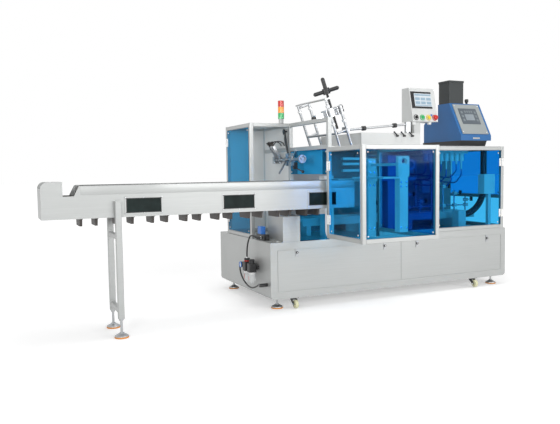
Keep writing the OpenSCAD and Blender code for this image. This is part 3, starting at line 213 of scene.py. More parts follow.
def colour(name, text, red, green, blue):
    """A colour property with its default given in display values."""
    default = linear(red, green, blue)
    return FloatVectorProperty(name=name, description=text, subtype="COLOR", min=0, max=1, default=default)


def length(name, text, metres):
    """A length property in metres."""
    return FloatProperty(name=name, description=text, subtype="DISTANCE", unit="LENGTH", min=0.0001, max=2,
                         default=metres)


class CartonerColours(bpy.types.PropertyGroup):
    """Colours of the cartoner's finishes."""
    steel: colour("Steel", "Satin steel of cabinet, conveyor and guard frame", 174, 176, 175)
    cover: colour("Cover", "Light coat of cover sheets and operator panel", 208, 210, 209)
    acrylic: colour("Acrylic", "Tint of the guard panes", 56, 172, 228)
    melter: colour("Melter", "Enamel of the hot-melt unit", 30, 98, 158)
    melter_panel: colour("Melter panel", "Sloped control panel of the hot-melt unit", 150, 156, 156)
    foot_ring: colour("Foot ring", "Rubber ring round each levelling foot", 216, 144, 64)
    wheel: colour("Wheel", "Nylon of the castor wheels", 222, 220, 182)
    stop: colour("Stop", "Emergency stop button and red lens", 200, 34, 22)
    amber: colour("Amber", "Middle lens of the signal tower", 242, 150, 20)
    start: colour("Start", "Start button and green lens", 36, 170, 92)
    reset: colour("Reset", "Reset button", 226, 196, 40)


class CartonerSizes(bpy.types.PropertyGroup):
    """Sizes of the small pieces."""
    screw_d: length("Screw head", "Across the head of a pane screw", 0.012)
    bolt_d: length("Bolt head", "Across the corners of a hexagon head", 0.019)
    air_hose_d: length("Air hose", "Outside of the air hoses", 0.012)
    cable_d: length("Cable", "Outside of the operator panel's cable", 0.014)


# Finishes

NOISE_LOW, NOISE_HIGH = 0.3, 0.7


def new_finish(name, base, roughness, metallic=0.0):
    """A material with one Principled shader, and its node tree."""
    material = bpy.data.materials.new("cartoner_" + name)
    material.use_nodes = True
    shader = material.node_tree.nodes["Principled BSDF"]
    shader.inputs["Base Color"].default_value = (*base, 1)
    shader.inputs["Roughness"].default_value = roughness
    shader.inputs["Metallic"].default_value = metallic
    return material, material.node_tree, shader


def grain(tree, scale, detail=2.0, stretch=(1, 1, 1)):
    """Noise over Object coordinates, drawn out along an axis by a smaller stretch there."""
    place = tree.nodes.new("ShaderNodeTexCoord")
    spread = tree.nodes.new("ShaderNodeMapping")
    spread.inputs["Scale"].default_value = stretch
    texture = tree.nodes.new("ShaderNodeTexNoise")
    texture.inputs["Scale"].default_value = scale
    texture.inputs["Detail"].default_value = detail
    tree.links.new(place.outputs["Object"], spread.inputs["Vector"])
    tree.links.new(spread.outputs["Vector"], texture.inputs["Vector"])
    return texture.outputs["Fac"]


def shaded(tree, factor, socket, stops, step="LINEAR"):
    """Drives a colour socket by a ramp of (place, colour) stops along a factor."""
    ramp = tree.nodes.new("ShaderNodeValToRGB")
    ramp.color_ramp.interpolation = step
    elements = ramp.color_ramp.elements
    while len(elements) < len(stops):
        elements.new(0.5)
    for element, (place, tone) in zip(elements, stops):
        element.position = place
        element.color = (*tone, 1)
    tree.links.new(factor, ramp.inputs["Fac"])
    tree.links.new(ramp.outputs["Color"], socket)


def mapped(tree, factor, start, end, low, high):
    """A number that goes from low to high as a factor goes from start to end."""
    node = tree.nodes.new("ShaderNodeMapRange")
    for socket, value in (("From Min", start), ("From Max", end), ("To Min", low), ("To Max", high)):
        node.inputs[socket].default_value = value
    tree.links.new(factor, node.inputs["Value"])
    return node.outputs["Result"]


def ranged(tree, factor, socket, low, high):
    """Drives a number socket between two values along a noise."""
    tree.links.new(mapped(tree, factor, NOISE_LOW, NOISE_HIGH, low, high), socket)


def combined(tree, operation, first, second):
    """One number worked out of two."""
    node = tree.nodes.new("ShaderNodeMath")
    node.operation = operation
    tree.links.new(first, node.inputs[0])
    tree.links.new(second, node.inputs[1])
    return node.outputs["Value"]


def raised(tree, shader, factor, depth, strength=1.0):
    """Lets a factor raise the surface by up to a depth in metres."""
    node = tree.nodes.new("ShaderNodeBump")
    node.inputs["Distance"].default_value = depth
    node.inputs["Strength"].default_value = strength
    tree.links.new(factor, node.inputs["Height"])
    tree.links.new(node.outputs["Normal"], shader.inputs["Normal"])


def tone(base, share):
    """The colour lightened or darkened by a share."""
    return tuple(min(c * share, 1.0) for c in base)


def clouded(tree, shader, factor, base, spread):
    """Lets a factor darken and lighten the base colour by a share."""
    stops = [(NOISE_LOW, tone(base, 1 - spread)), (NOISE_HIGH, tone(base, 1 + spread))]
    shaded(tree, factor, shader.inputs["Base Color"], stops)


CLOUD_SCALE, PEEL_SCALE = 3.5, 420


def coat(name, base, roughness, spread=0.04, peel=0.00012):
    """Sprayed coat: a fine orange peel, and faint clouds of tone and gloss."""
    material, tree, shader = new_finish(name, base, roughness)
    clouds = grain(tree, CLOUD_SCALE, 4)
    clouded(tree, shader, clouds, base, spread)
    ranged(tree, clouds, shader.inputs["Roughness"], roughness - 0.05, roughness + 0.06)
    raised(tree, shader, grain(tree, PEEL_SCALE, 1), peel, 0.35)
    return material


def satin(name, base, roughness, spread=0.03):
    """Blasted sheet steel: half metal, with faint level brush marks and clouds of gloss."""
    material, tree, shader = new_finish(name, base, roughness, 0.5)
    clouded(tree, shader, grain(tree, 180, 3, (0.02, 1, 1)), base, spread)
    clouds = grain(tree, CLOUD_SCALE, 4)
    ranged(tree, clouds, shader.inputs["Roughness"], roughness - 0.04, roughness + 0.05)
    raised(tree, shader, grain(tree, PEEL_SCALE, 1), 0.0001, 0.2)
    return material


def brushed(name, base, roughness, stretch, spread=0.1):
    """Brushed metal: noise drawn out along the brush marks changes tone, gloss and height."""
    material, tree, shader = new_finish(name, base, roughness, 1.0)
    marks = grain(tree, 260, 3, stretch)
    clouded(tree, shader, marks, base, spread)
    ranged(tree, marks, shader.inputs["Roughness"], roughness - 0.08, roughness + 0.1)
    raised(tree, shader, marks, 0.0001, 0.25)
    return material


def moulded(name, base, roughness, scale=700, depth=0.0001, spread=0.08, gloss=0.5):
    """Moulded plastic or rubber: a fine pebbled skin with clouds of tone."""
    material, tree, shader = new_finish(name, base, roughness)
    shader.inputs["Specular IOR Level"].default_value = gloss
    skin = grain(tree, scale, 2)
    clouded(tree, shader, grain(tree, 14, 3), base, spread)
    ranged(tree, skin, shader.inputs["Roughness"], roughness - 0.05, roughness + 0.07)
    raised(tree, shader, skin, depth, 0.4)
    return material


def clear(name, tint, shade, roughness=0.02, through=1.0):
    """Clear sheet: tinted glass to the eye, and a plain gap to lamps and scattered light.

    So what stands behind it is lit without the tint.
    """
    material, tree, shader = new_finish(name, tint, roughness)
    shader.inputs["Transmission Weight"].default_value = through
    shader.inputs["IOR"].default_value = 1.1
    shader.inputs["Specular IOR Level"].default_value = 0.3
    ranged(tree, grain(tree, 9, 3), shader.inputs["Roughness"], roughness, roughness + 0.03)
    gap = tree.nodes.new("ShaderNodeBsdfTransparent")
    gap.inputs["Color"].default_value = (*shade, 1)
    rays = tree.nodes.new("ShaderNodeLightPath")
    either = tree.nodes.new("ShaderNodeMixShader")
    unseen = combined(tree, "MAXIMUM", rays.outputs["Is Shadow Ray"], rays.outputs["Is Diffuse Ray"])
    tree.links.new(unseen, either.inputs["Fac"])
    tree.links.new(shader.outputs["BSDF"], either.inputs[1])
    tree.links.new(gap.outputs["BSDF"], either.inputs[2])
    tree.links.new(either.outputs["Shader"], tree.nodes["Material Output"].inputs["Surface"])
    return material


def lenses(name, low, high, tones):
    """Signal lenses: one colour for each third of their height, with fine upright ribs."""
    material, tree, shader = new_finish(name, tones[0], 0.22)
    shader.inputs["Coat Weight"].default_value = 0.5
    place = tree.nodes.new("ShaderNodeTexCoord")
    parts = tree.nodes.new("ShaderNodeSeparateXYZ")
    tree.links.new(place.outputs["Object"], parts.inputs["Vector"])
    share = mapped(tree, parts.outputs["Z"], low, high, 0, 1)
    stops = [(k / len(tones), t) for k, t in enumerate(tones)]
    shaded(tree, share, shader.inputs["Base Color"], stops, "CONSTANT")
    raised(tree, shader, grain(tree, 400, 1, (1, 1, 0.02)), 0.0006, 0.5)
    return material


def make_finish(name):
    """Makes one finish by name, from the scene's colours."""
    tones = bpy.context.scene.cartoner_colours
    lens_low, lens_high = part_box("signal_lenses")
    button_skin = (600, 0.00004, 0.05)
    keypad_skin = (500, 0.00005, 0.05)
    screen_skin = (90, 0.00001, 0.03)
    makers = {
        "satin_steel": (satin, tones.steel, 0.42),
        "light_coat": (coat, tones.cover, 0.42),
        "white_coat": (coat, (0.86, 0.86, 0.85), 0.35, 0.02),
        "black_coat": (coat, (0.018, 0.019, 0.02), 0.38, 0.2),
        "melter_enamel": (coat, tones.melter, 0.32, 0.06),
        "melter_face": (coat, tones.melter_panel, 0.45),
        "hopper_coat": (coat, (0.02, 0.025, 0.026), 0.5, 0.15),
        "wall_coat": (coat, (0.32, 0.33, 0.35), 0.5, 0.1),
        "machined": (coat, (0.74, 0.76, 0.78), 0.3, 0.08, 0.00004),
        "brushed_x": (brushed, (0.56, 0.57, 0.58), 0.3, (0.03, 1, 1)),
        "brushed_z": (brushed, (0.58, 0.59, 0.6), 0.28, (1, 1, 0.03)),
        "rod_steel": (brushed, (0.4, 0.41, 0.42), 0.34, (1, 1, 0.05)),
        "chrome": (brushed, (0.78, 0.79, 0.8), 0.14, (1, 1, 0.1), 0.04),
        "dark_nylon": (moulded, (0.045, 0.038, 0.034), 0.5),
        "wheel_nylon": (moulded, tones.wheel, 0.45, 600, 0.0001, 0.05),
        "ring_rubber": (moulded, tones.foot_ring, 0.6, 500, 0.0002),
        "hose_rubber": (moulded, (0.014, 0.015, 0.016), 0.4, 900, 0.00006),
        "black_plastic": (moulded, (0.016, 0.016, 0.017), 0.42),
        "grey_plastic": (moulded, (0.42, 0.43, 0.43), 0.4, 500, 0.00006, 0.04),
        "white_plastic": (moulded, (0.82, 0.83, 0.83), 0.35, 500, 0.00005, 0.03),
        "red_plastic": (moulded, tones.stop, 0.3, *button_skin),
        "green_plastic": (moulded, tones.start, 0.3, *button_skin),
        "yellow_plastic": (moulded, tones.reset, 0.3, *button_skin),
        "blue_plastic": (moulded, (0.02, 0.16, 0.55), 0.35, *button_skin),
        "control_grey": (moulded, (0.085, 0.105, 0.125), 0.4, *keypad_skin),
        "keypad_grey": (moulded, (0.17, 0.2, 0.22), 0.4, *keypad_skin),
        "display_grey": (moulded, (0.25, 0.29, 0.32), 0.15, *screen_skin),
        "screen_light": (moulded, (0.62, 0.68, 0.72), 0.12, *screen_skin),
        "screen_field": (moulded, (0.30, 0.42, 0.52), 0.15, *screen_skin),
        "screen_bezel": (moulded, (0.012, 0.012, 0.014), 0.25, 800, 0.00003, 0.1),
        "smoked_window": (moulded, (0.01, 0.018, 0.017), 0.15, 30, 0.00003, 0.3, 0.2),
        "lenses": (lenses, lens_low[2], lens_high[2], [tones.start, tones.amber, tones.stop]),
        "blue_acrylic": (clear, tones.acrylic, (0.93, 0.94, 0.95)),
        "clear_bowl": (clear, (0.86, 0.88, 0.88), (0.95, 0.95, 0.95), 0.05, 0.55),
    }
    maker, *values = makers[name]
    return maker(name, *values)


def finish(name):
    """A finish by name, made the first time that it is asked for."""
    return bpy.data.materials.get("cartoner_" + name) or make_finish(name)


# Operators

CORNERS = ("front_left", "front_right", "rear_left", "rear_right")
FINISH_NODES = {
    "satin_steel": ("base_cabinet", "base_panels", "conveyor_plates", "conveyor_pedestal", "conveyor_stand",
                    "guard_posts", "guard_rails"),
    "light_coat": ("cover_sheets", "panel_post", "panel_box"),
    "white_coat": ("door_hinges",),
    "black_coat": ("castor_plates", "melter_foot", "picker_levers", *("castor_fork_" + c for c in CORNERS)),
    "melter_enamel": ("melter_body",),
    "melter_face": ("melter_panel",),
    "hopper_coat": ("melter_hopper",),
    "wall_coat": ("drive_wall",),
    "machined": ("drive_frame", "carton_track"),
    "brushed_x": ("conveyor_bed",),
    "brushed_z": ("magazine_adjuster",),
    "rod_steel": ("levelling_feet", "magazine_frame", "panel_latches", "carton_picker"),
    "dark_nylon": ("bucket_chain", "bucket_flights", "suction_cups"),
    "wheel_nylon": tuple("castor_wheel_" + c for c in CORNERS),
    "ring_rubber": ("foot_rings",),
    "hose_rubber": ("air_hose_upper", "air_hose_lower"),
    "black_plastic": ("selector_knob", "air_unit", "clamp_levers", "air_valve", "hand_crank", "glue_hose"),
    "grey_plastic": ("signal_tower",),
    "red_plastic": ("stop_button",),
    "green_plastic": ("start_button",),
    "yellow_plastic": ("reset_button",),
    "blue_plastic": ("valve_coil",),
    "screen_bezel": ("panel_screen",),
    "smoked_window": ("conveyor_windows",),
    "lenses": ("signal_lenses",),
    "blue_acrylic": ("guard_panes", "cage_door", "front_guard_door", "right_guard_door"),
    "clear_bowl": ("air_bowls",),
}


class CARTONER_OT_finishes(bpy.types.Operator):
    """Gives every solid of the frame its finish"""
    bl_idname = "cartoner.finishes"
    bl_label = "Finishes"

    def execute(self, context):
        for name, nodes in FINISH_NODES.items():
            for node in nodes:
                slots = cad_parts[node].material_slots
                if not len(slots):
                    raise RuntimeError(f"{node} has no material slot")
                for slot in slots:
                    slot.material = finish(name)
        return {"FINISHED"}


CABINET_CORNER = np.array([-0.352, -0.1955, 0])
LEFT, RIGHT, FRONT, REAR = (-1, 0, 0), (1, 0, 0), (0, -1, 0), (0, 1, 0)
DOWN, UP = (0, 0, -1), (0, 0, 1)
SMALL_HEAD = (0.009, 0.003)


def at(x, y, z):
    """Millimetres from the cabinet's front left corner on the floor as metres in the frame."""
    return np.array([x, y, z]) / 1000 + CABINET_CORNER


def span(middle, width):
    """Low and high end of a width about its middle."""
    return middle - width / 2, middle + width / 2


def slab(xs, ys, zs, edge):
    """Box with round edges, by its spans in mm from the cabinet's corner."""
    low, high = (at(*corner) for corner in zip(xs, ys, zs))
    return block(low, high, edge)


def screw(place, direction, diameter, height=0.004):
    """Button head with a socket: a low dome turned about its middle, with a round hollow in its top."""
    r = diameter / 2
    dome = turned([(r, 0), (r, height * 0.35), (r * 0.86, height * 0.75), (r * 0.6, height),
                   (r * 0.42, height), (r * 0.4, height * 0.45), (0.0004, height * 0.45)], 18)
    return moved(dome, place, facing(direction))


def bolt(place, direction, diameter, height=0.006):
    """Hexagon head on its washer."""
    washer = disc(diameter * 0.72, diameter * 0.09, 0.0004, 20)
    head = moved(hex_head(diameter / 2, height), (0, 0, diameter * 0.09))
    return moved(joined([washer, head]), place, facing(direction))


def sheet_corners(low, high, axis, inset):
    """Four points an inset inside the corners of an upright sheet, which spans z and one other axis."""
    other = 1 - axis
    points = np.zeros((4, 3))
    points[:, other] = np.repeat([low[other] + inset, high[other] - inset], 2)
    points[:, 2] = np.tile([low[2] + inset, high[2] - inset], 2)
    return points


def parts_of(node):
    """Low and high corners of each solid of a node: points at one place or along an edge belong together."""
    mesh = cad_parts[node].data
    points = np.array([v.co for v in mesh.vertices])
    first = {}
    parent = [first.setdefault(tuple(p), i) for i, p in enumerate(points.round(5).tolist())]

    def root(i):
        """The point that stands for all those joined to point i."""
        while parent[i] != i:
            parent[i] = parent[parent[i]]
            i = parent[i]
        return i

    for edge in mesh.edges:
        parent[root(edge.vertices[0])] = root(edge.vertices[1])
    roots = np.array([root(i) for i in range(len(points))])
    return [(points[roots == r].min(0), points[roots == r].max(0)) for r in np.unique(roots)]


# Doors in mm: body, axis across the sheet, outer face, span along it, span in z, hinge pin, hinge heights
DOORS = (
    ("cage_door", 0, 10, (410, 881), (534, 1365), 885, (600, 1233)),
    ("front_guard_door", 0, 350, (-651, -249), (573, 1153), -245, (639, 1021)),
    ("right_guard_door", 1, 0, (1519, 2209), (534, 1172), 2213, (600, 1040)),
)
HINGE_H, HINGE_LEAF, PIN_OUT, KNUCKLE_D, KNUCKLE_H = 66, 24, 7, 13, 21.4
LEAF_T, LEAF_RIM, LEAF_GAP = 3.6, 0.6, 0.2
LEAF_SCREW_BACK, LEAF_SCREW_UP = 16, 12
DOOR_INSET, DOOR_HINGE_INSET = 20, 34
PANE_INSET, PANE_T_MAX = 0.018, 0.02


def across(axis, face, along, z):
    """Point on an upright sheet, by its face, the place along it and its height, all in mm."""
    return at(face, along, z) if axis == 0 else at(along, face, z)


class CARTONER_OT_guard_fixings(bpy.types.Operator):
    """Screws in the corners of every pane and door, and white hinge leaves on the doors"""
    bl_idname = "cartoner.guard_fixings"
    bl_label = "Guard fixings"

    def execute(self, context):
        size = context.scene.cartoner_sizes.screw_d
        fixed = []
        for low, high in parts_of("guard_panes"):
            axis = int(np.argmin(high - low))
            if axis == 2 or (high - low)[axis] > PANE_T_MAX:
                continue
            spots = sheet_corners(low, high, axis, PANE_INSET)
            for face, direction in ((low[axis], (LEFT, FRONT)[axis]), (high[axis], (RIGHT, REAR)[axis])):
                spots[:, axis] = face
                fixed += [screw(spot, direction, size) for spot in spots]
        add_piece("pane_screws", fixed, "brushed_z")
        for door, axis, face, along, heights, pin, hinges in DOORS:
            direction = (LEFT, FRONT)[axis]
            corners = [across(axis, face, a, z) for a in (along[0] + DOOR_INSET, along[1] - DOOR_HINGE_INSET)
                       for z in (heights[0] + DOOR_INSET, heights[1] - DOOR_INSET)]
            add_piece(door + "_screws", [screw(c, direction, size) for c in corners], "brushed_z", door)
            leaves, heads = [], []
            for z in hinges:
                low = across(axis, face - LEAF_T, pin - HINGE_LEAF - LEAF_RIM, z - LEAF_RIM)
                high = across(axis, face, pin - PIN_OUT - LEAF_GAP, z + HINGE_H + LEAF_RIM)
                foot = across(axis, face - PIN_OUT, pin, z + (HINGE_H - KNUCKLE_H) / 2)
                leaves += [block(low, high, 0.001), moved(disc(KNUCKLE_D / 2000, KNUCKLE_H / 1000), foot)]
                spots = [across(axis, face - LEAF_T, pin - LEAF_SCREW_BACK, z + h)
                         for h in (LEAF_SCREW_UP, HINGE_H - LEAF_SCREW_UP)]
                heads += [screw(spot, direction, SMALL_HEAD[0], 0.0025) for spot in spots]
            add_piece(door + "_hinge_leaves", leaves, "white_coat", door)
            add_piece(door + "_hinge_screws", heads, "chrome", door)
        return {"FINISHED"}


STRIP_XS, STRIP_YS, STRIP_ZS = (-1338, 598), ((-189.5, -170.5), (37.5, 56.5)), (951, 953.5)
FOLD_XS, FOLD_YS, FOLD_ZS = (-1334, 596), ((-191.2, -189.8), (56.8, 58.2)), (895, 949)
WINDOW_XS, WINDOW_FACE, WINDOW_HALF, WINDOW_ZS = (-953, -311, 331), -193, 114.5, (772, 872)
SEAL_L, SEAL_W, SEAL_YS, SEAL_ZS = 217, 5, (-194.2, -192.6), (778, 866)
STAND_X, STAND_REAR, STAND_BOLT_ZS = -1119, 95, (835, 790)


class CARTONER_OT_conveyor_fixings(bpy.types.Operator):
    """Wear strips, plate folds, window seals and screws, and leg bolts of the infeed conveyor"""
    bl_idname = "cartoner.conveyor_fixings"
    bl_label = "Conveyor fixings"

    def execute(self, context):
        strips = [slab(STRIP_XS, ys, STRIP_ZS, 0.001) for ys in STRIP_YS]
        add_piece("wear_strips", strips, "black_plastic")
        folds = [slab(FOLD_XS, ys, FOLD_ZS, 0.0006) for ys in FOLD_YS]
        add_piece("plate_folds", folds, "satin_steel")
        screws = [screw(at(x + u, WINDOW_FACE, z), FRONT, *SMALL_HEAD)
                  for x in WINDOW_XS for u in (-WINDOW_HALF, 0, WINDOW_HALF) for z in WINDOW_ZS]
        add_piece("window_screws", screws, "brushed_z")
        seals = []
        for x in WINDOW_XS:
            level, upright = span(x, SEAL_L + 2 * SEAL_W), span(x, SEAL_L)
            seals += [slab(level, SEAL_YS, span(z, SEAL_W), 0.0006) for z in SEAL_ZS]
            seals += [slab(span(u, SEAL_W), SEAL_YS, SEAL_ZS, 0.0006) for u in upright]
        add_piece("window_seals", seals, "black_plastic")
        size = context.scene.cartoner_sizes.bolt_d
        bolts = [bolt(at(STAND_X, STAND_REAR, z), REAR, size) for z in STAND_BOLT_ZS]
        add_piece("conveyor_bolts", bolts, "rod_steel")
        return {"FINISHED"}


LATCH_KEY_UP = 0.004
AXLE_NUT = (0.0075, 0.005)


class CARTONER_OT_cabinet_fixings(bpy.types.Operator):
    """Keys in the panel latches, and nuts on the castor axles"""
    bl_idname = "cartoner.cabinet_fixings"
    bl_label = "Cabinet fixings"

    def execute(self, context):
        key = turned([(0.0095, 0), (0.0095, 0.003), (0.008, 0.004), (0.0065, 0.004), (0.006, 0.0015),
                      (0.0004, 0.0015)], 20)
        slot = block((-0.002, -0.0055, 0.001), (0.002, 0.0055, 0.0042), 0.0005)
        cabinet_middle = np.mean(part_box("base_cabinet"), 0)
        keys, slots = [], []
        for low, high in parts_of("panel_latches"):
            middle = (low + high) / 2 + (0, 0, LATCH_KEY_UP)
            front = middle[1] < cabinet_middle[1]
            middle[1] = low[1] if front else high[1]
            turn = facing(FRONT if front else REAR)
            keys.append(moved(key, middle, turn))
            slots.append(moved(slot, middle, turn))
        add_piece("latch_keys", keys, "black_plastic")
        add_piece("latch_slots", slots, "chrome")
        for corner in CORNERS:
            low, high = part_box("castor_fork_" + corner)
            middle = np.mean(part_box("castor_wheel_" + corner), 0)
            nuts = [moved(hex_head(*AXLE_NUT), (x, middle[1], middle[2]), facing(way))
                    for x, way in ((low[0], LEFT), (high[0], RIGHT))]
            add_piece("axle_nuts_" + corner, nuts, "chrome", "castor_fork_" + corner)
        return {"FINISHED"}


PANEL_AT, PANEL_TILT = (1422, 200, 1424), math.radians(12)
PANEL_TURN = np.column_stack([(1, 0, 0), (0, math.sin(PANEL_TILT), math.cos(PANEL_TILT)),
                              (0, -math.cos(PANEL_TILT), math.sin(PANEL_TILT))])
BUTTON_X, BUTTON_STEP, BUTTON_Y = 0.038, 0.065, 0.036
COLLAR_OFF = 0.0002
BLUE_LAMP_AT = (0.2, 0.058, 0)
BOX_SCREW_XS, BOX_SCREW_YS = (0.009, 0.255), (0.009, 0.285)
GLASS = ((42, 222), (132, 246), (2.5, 4.3))
FIELD_XS, FIELD_YS, FIELD_ZS = (50, 108, 166), (152, 186), (4, 4.9)
FIELD_W, FIELD_H = 48, 24
BAR_XS, BAR_YS = (48, 216), ((226, 240), (137, 145))
PLUGS, PLUG_W, PLUG_YS, PANEL_BOTTOM = ((1436, 1398), (1600, 1402)), 26, (214, 240), 1424
PANEL_CABLE = ((1446, 262, 1424), (1446, 262, 1404), (1444, 258, 1360), (1440, 250, 1300), (1440, 246, 1250),
               (1442, 246, 1222), (1442, 246, 1210))


def on_panel(shape):
    """A shape drawn in metres on the operator panel (x along it, y up it, z out of it), put in its place."""
    return moved(shape, at(*PANEL_AT), PANEL_TURN)


def tile(xs, ys, zs, edge=0.0008):
    """Flat block on the operator panel, by its spans in mm."""
    low, high = np.array([xs, ys, zs]).T / 1000
    return on_panel(block(low, high, edge))


class CARTONER_OT_operator_panel(bpy.types.Operator):
    """Screen face with plain fields, button collars, blue lamp, box screws, cable with glands and plugs"""
    bl_idname = "cartoner.operator_panel"
    bl_label = "Operator panel"

    def execute(self, context):
        add_piece("screen_glass", [tile(*GLASS, 0.0006)], "screen_light")
        fields = [tile(BAR_XS, ys, FIELD_ZS) for ys in BAR_YS]
        fields += [tile((x, x + FIELD_W), (y, y + FIELD_H), FIELD_ZS) for x in FIELD_XS for y in FIELD_YS]
        add_piece("screen_fields", fields, "screen_field")
        ring = turned([(0.025, 0), (0.025, 0.002), (0.0235, 0.0028), (0.0185, 0.0028), (0.0185, 0)], 32)
        for i, name in enumerate(("black", "green", "yellow", "red")):
            place = (BUTTON_X + BUTTON_STEP * i, BUTTON_Y, COLLAR_OFF)
            add_piece(name + "_collar", [on_panel(moved(ring, place))], name + "_plastic")
        lamp = turned([(0.008, 0), (0.008, 0.003), (0.0065, 0.004), (0.006, 0.009), (0.004, 0.011),
                       (0.0008, 0.0115)], 20)
        add_piece("blue_lamp", [on_panel(moved(lamp, BLUE_LAMP_AT))], "blue_plastic")
        heads = [on_panel(screw((x, y, 0), UP, *SMALL_HEAD)) for x in BOX_SCREW_XS for y in BOX_SCREW_YS]
        add_piece("panel_screws", heads, "chrome")
        cable = smooth_path([at(*point) for point in PANEL_CABLE])
        add_piece("panel_cable", [hose(cable, context.scene.cartoner_sizes.cable_d / 2)], "hose_rubber")
        gland = turned([(0.013, 0), (0.013, 0.006), (0.011, 0.008), (0.011, 0.016), (0.008, 0.02)], 20)
        glands = [moved(gland, cable[-1]), moved(gland, cable[0], facing(DOWN))]
        add_piece("cable_glands", glands, "black_plastic")
        plugs = [slab((x, x + PLUG_W), PLUG_YS, (z, PANEL_BOTTOM), 0.003) for x, z in PLUGS]
        add_piece("panel_plugs", plugs, "white_plastic")
        return {"FINISHED"}


def flat_face(node, way):
    """Corner, width, height and 3x3 turn of the flat face of a node that looks most along a direction."""
    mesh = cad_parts[node].data
    points = np.array([v.co for v in mesh.vertices])
    out = np.array(max(mesh.polygons, key=lambda f: f.area * max(f.normal.dot(way), 0)).normal)
    reach = points @ out
    face = points[reach > reach.max() - 1e-4]
    side = np.cross([0, 0, 1], out)
    side /= np.linalg.norm(side)
    up = np.cross(out, side)
    turn = np.column_stack([side, up, out])
    spots = face @ turn
    return turn @ spots.min(0), *np.ptp(spots, 0)[:2], turn


MELTER_KEY_ZS, MELTER_HEAD = (2, 4.6), (0.01, 0.003)
MELTER_PLATE = ((1984, 2060), (98.6, 100.2), (1276, 1290))


class CARTONER_OT_melter_details(bpy.types.Operator):
    """Control frame, display, keys, corner screws and bare plate of the hot-melt unit"""
    bl_idname = "cartoner.melter_details"
    bl_label = "Hot-melt unit"

    def execute(self, context):
        corner, width, rise, turn = flat_face("melter_panel", Vector((0, -0.8, 0.6)))

        def on_slope(xs, ys, zs, edge=0.0015):
            """Flat block on the sloped panel: spans by shares of its width and rise, and outwards in mm."""
            low, high = np.array([xs, ys, zs]).T * (width, rise, 0.001)
            return moved(block(low, high, edge), corner, turn)

        add_piece("melter_frame", [on_slope((0.14, 0.84), (0.33, 0.86), (-1, 3))], "control_grey")
        add_piece("melter_display", [on_slope((0.32, 0.66), (0.45, 0.66), (2, 4.2))], "display_grey")
        spots = [(0.34 + 0.085 * i, 0.71, 0.06, 0.07) for i in range(4)]
        spots += [(x, 0.42 + 0.13 * i, 0.08, 0.08) for x in (0.19, 0.71) for i in range(3)]
        keys = [on_slope((x, x + wide), (y, y + tall), MELTER_KEY_ZS, 0.001) for x, y, wide, tall in spots]
        add_piece("melter_keys", keys, "keypad_grey")
        heads = [moved(screw((x * width, y * rise, 0), UP, *MELTER_HEAD), corner, turn)
                 for x in (0.045, 0.955) for y in (0.06, 0.95)]
        add_piece("melter_screws", heads, "chrome")
        add_piece("melter_plate", [slab(*MELTER_PLATE, 0.0006)], "grey_plastic")
        return {"FINISHED"}


UPPER_HOSE = ((-50, 332, 368.3), (-50, 332, 396.3), (-49, 330, 424.3), (-48, 325, 452.3), (-47, 315, 479.3),
              (-46, 299, 503.3), (-45, 277, 529), (-42, 251, 537), (-36, 226, 535), (-24, 208, 528),
              (-6.3, 200, 523), (7.7, 200, 523))
LOWER_HOSE = ((-50, 453.3, 295), (-50, 467.3, 295), (-50, 483.3, 279), (-50, 483.3, 249), (-50, 463.3, 217),
              (-50, 435.3, 191), (-50, 399.3, 169), (-50, 359.3, 153), (-50, 317.3, 143), (-50, 275.3, 139),
              (-50, 233.3, 142), (-50, 193.3, 151), (-50, 155.3, 164), (-50, 130.3, 174), (-50, 106.3, 186),
              (-50, 92.3, 186))
GAUGE_AT, GAUGE_FACE_R = (-66, 431, 295), 0.0185
BOWL_X, BOWL_YS, BAND_Z = -50, (240, 332), 246
KNOB_RING_Z, RIB_Z, RIB_H, RIB_COUNT, KNOB_R = 332, 342, 0.014, 20, 0.0203
BOWL_MARK_XS, BOWL_MARKS = (-77, -75.6), (((326, 331), (200, 236)), ((236, 240), (200, 232)))
TOP_NUT_AT, SIDE_NUTS = (-50, 332, 354), (((-50, 92.3, 186), FRONT), ((22, 200, 523), LEFT))


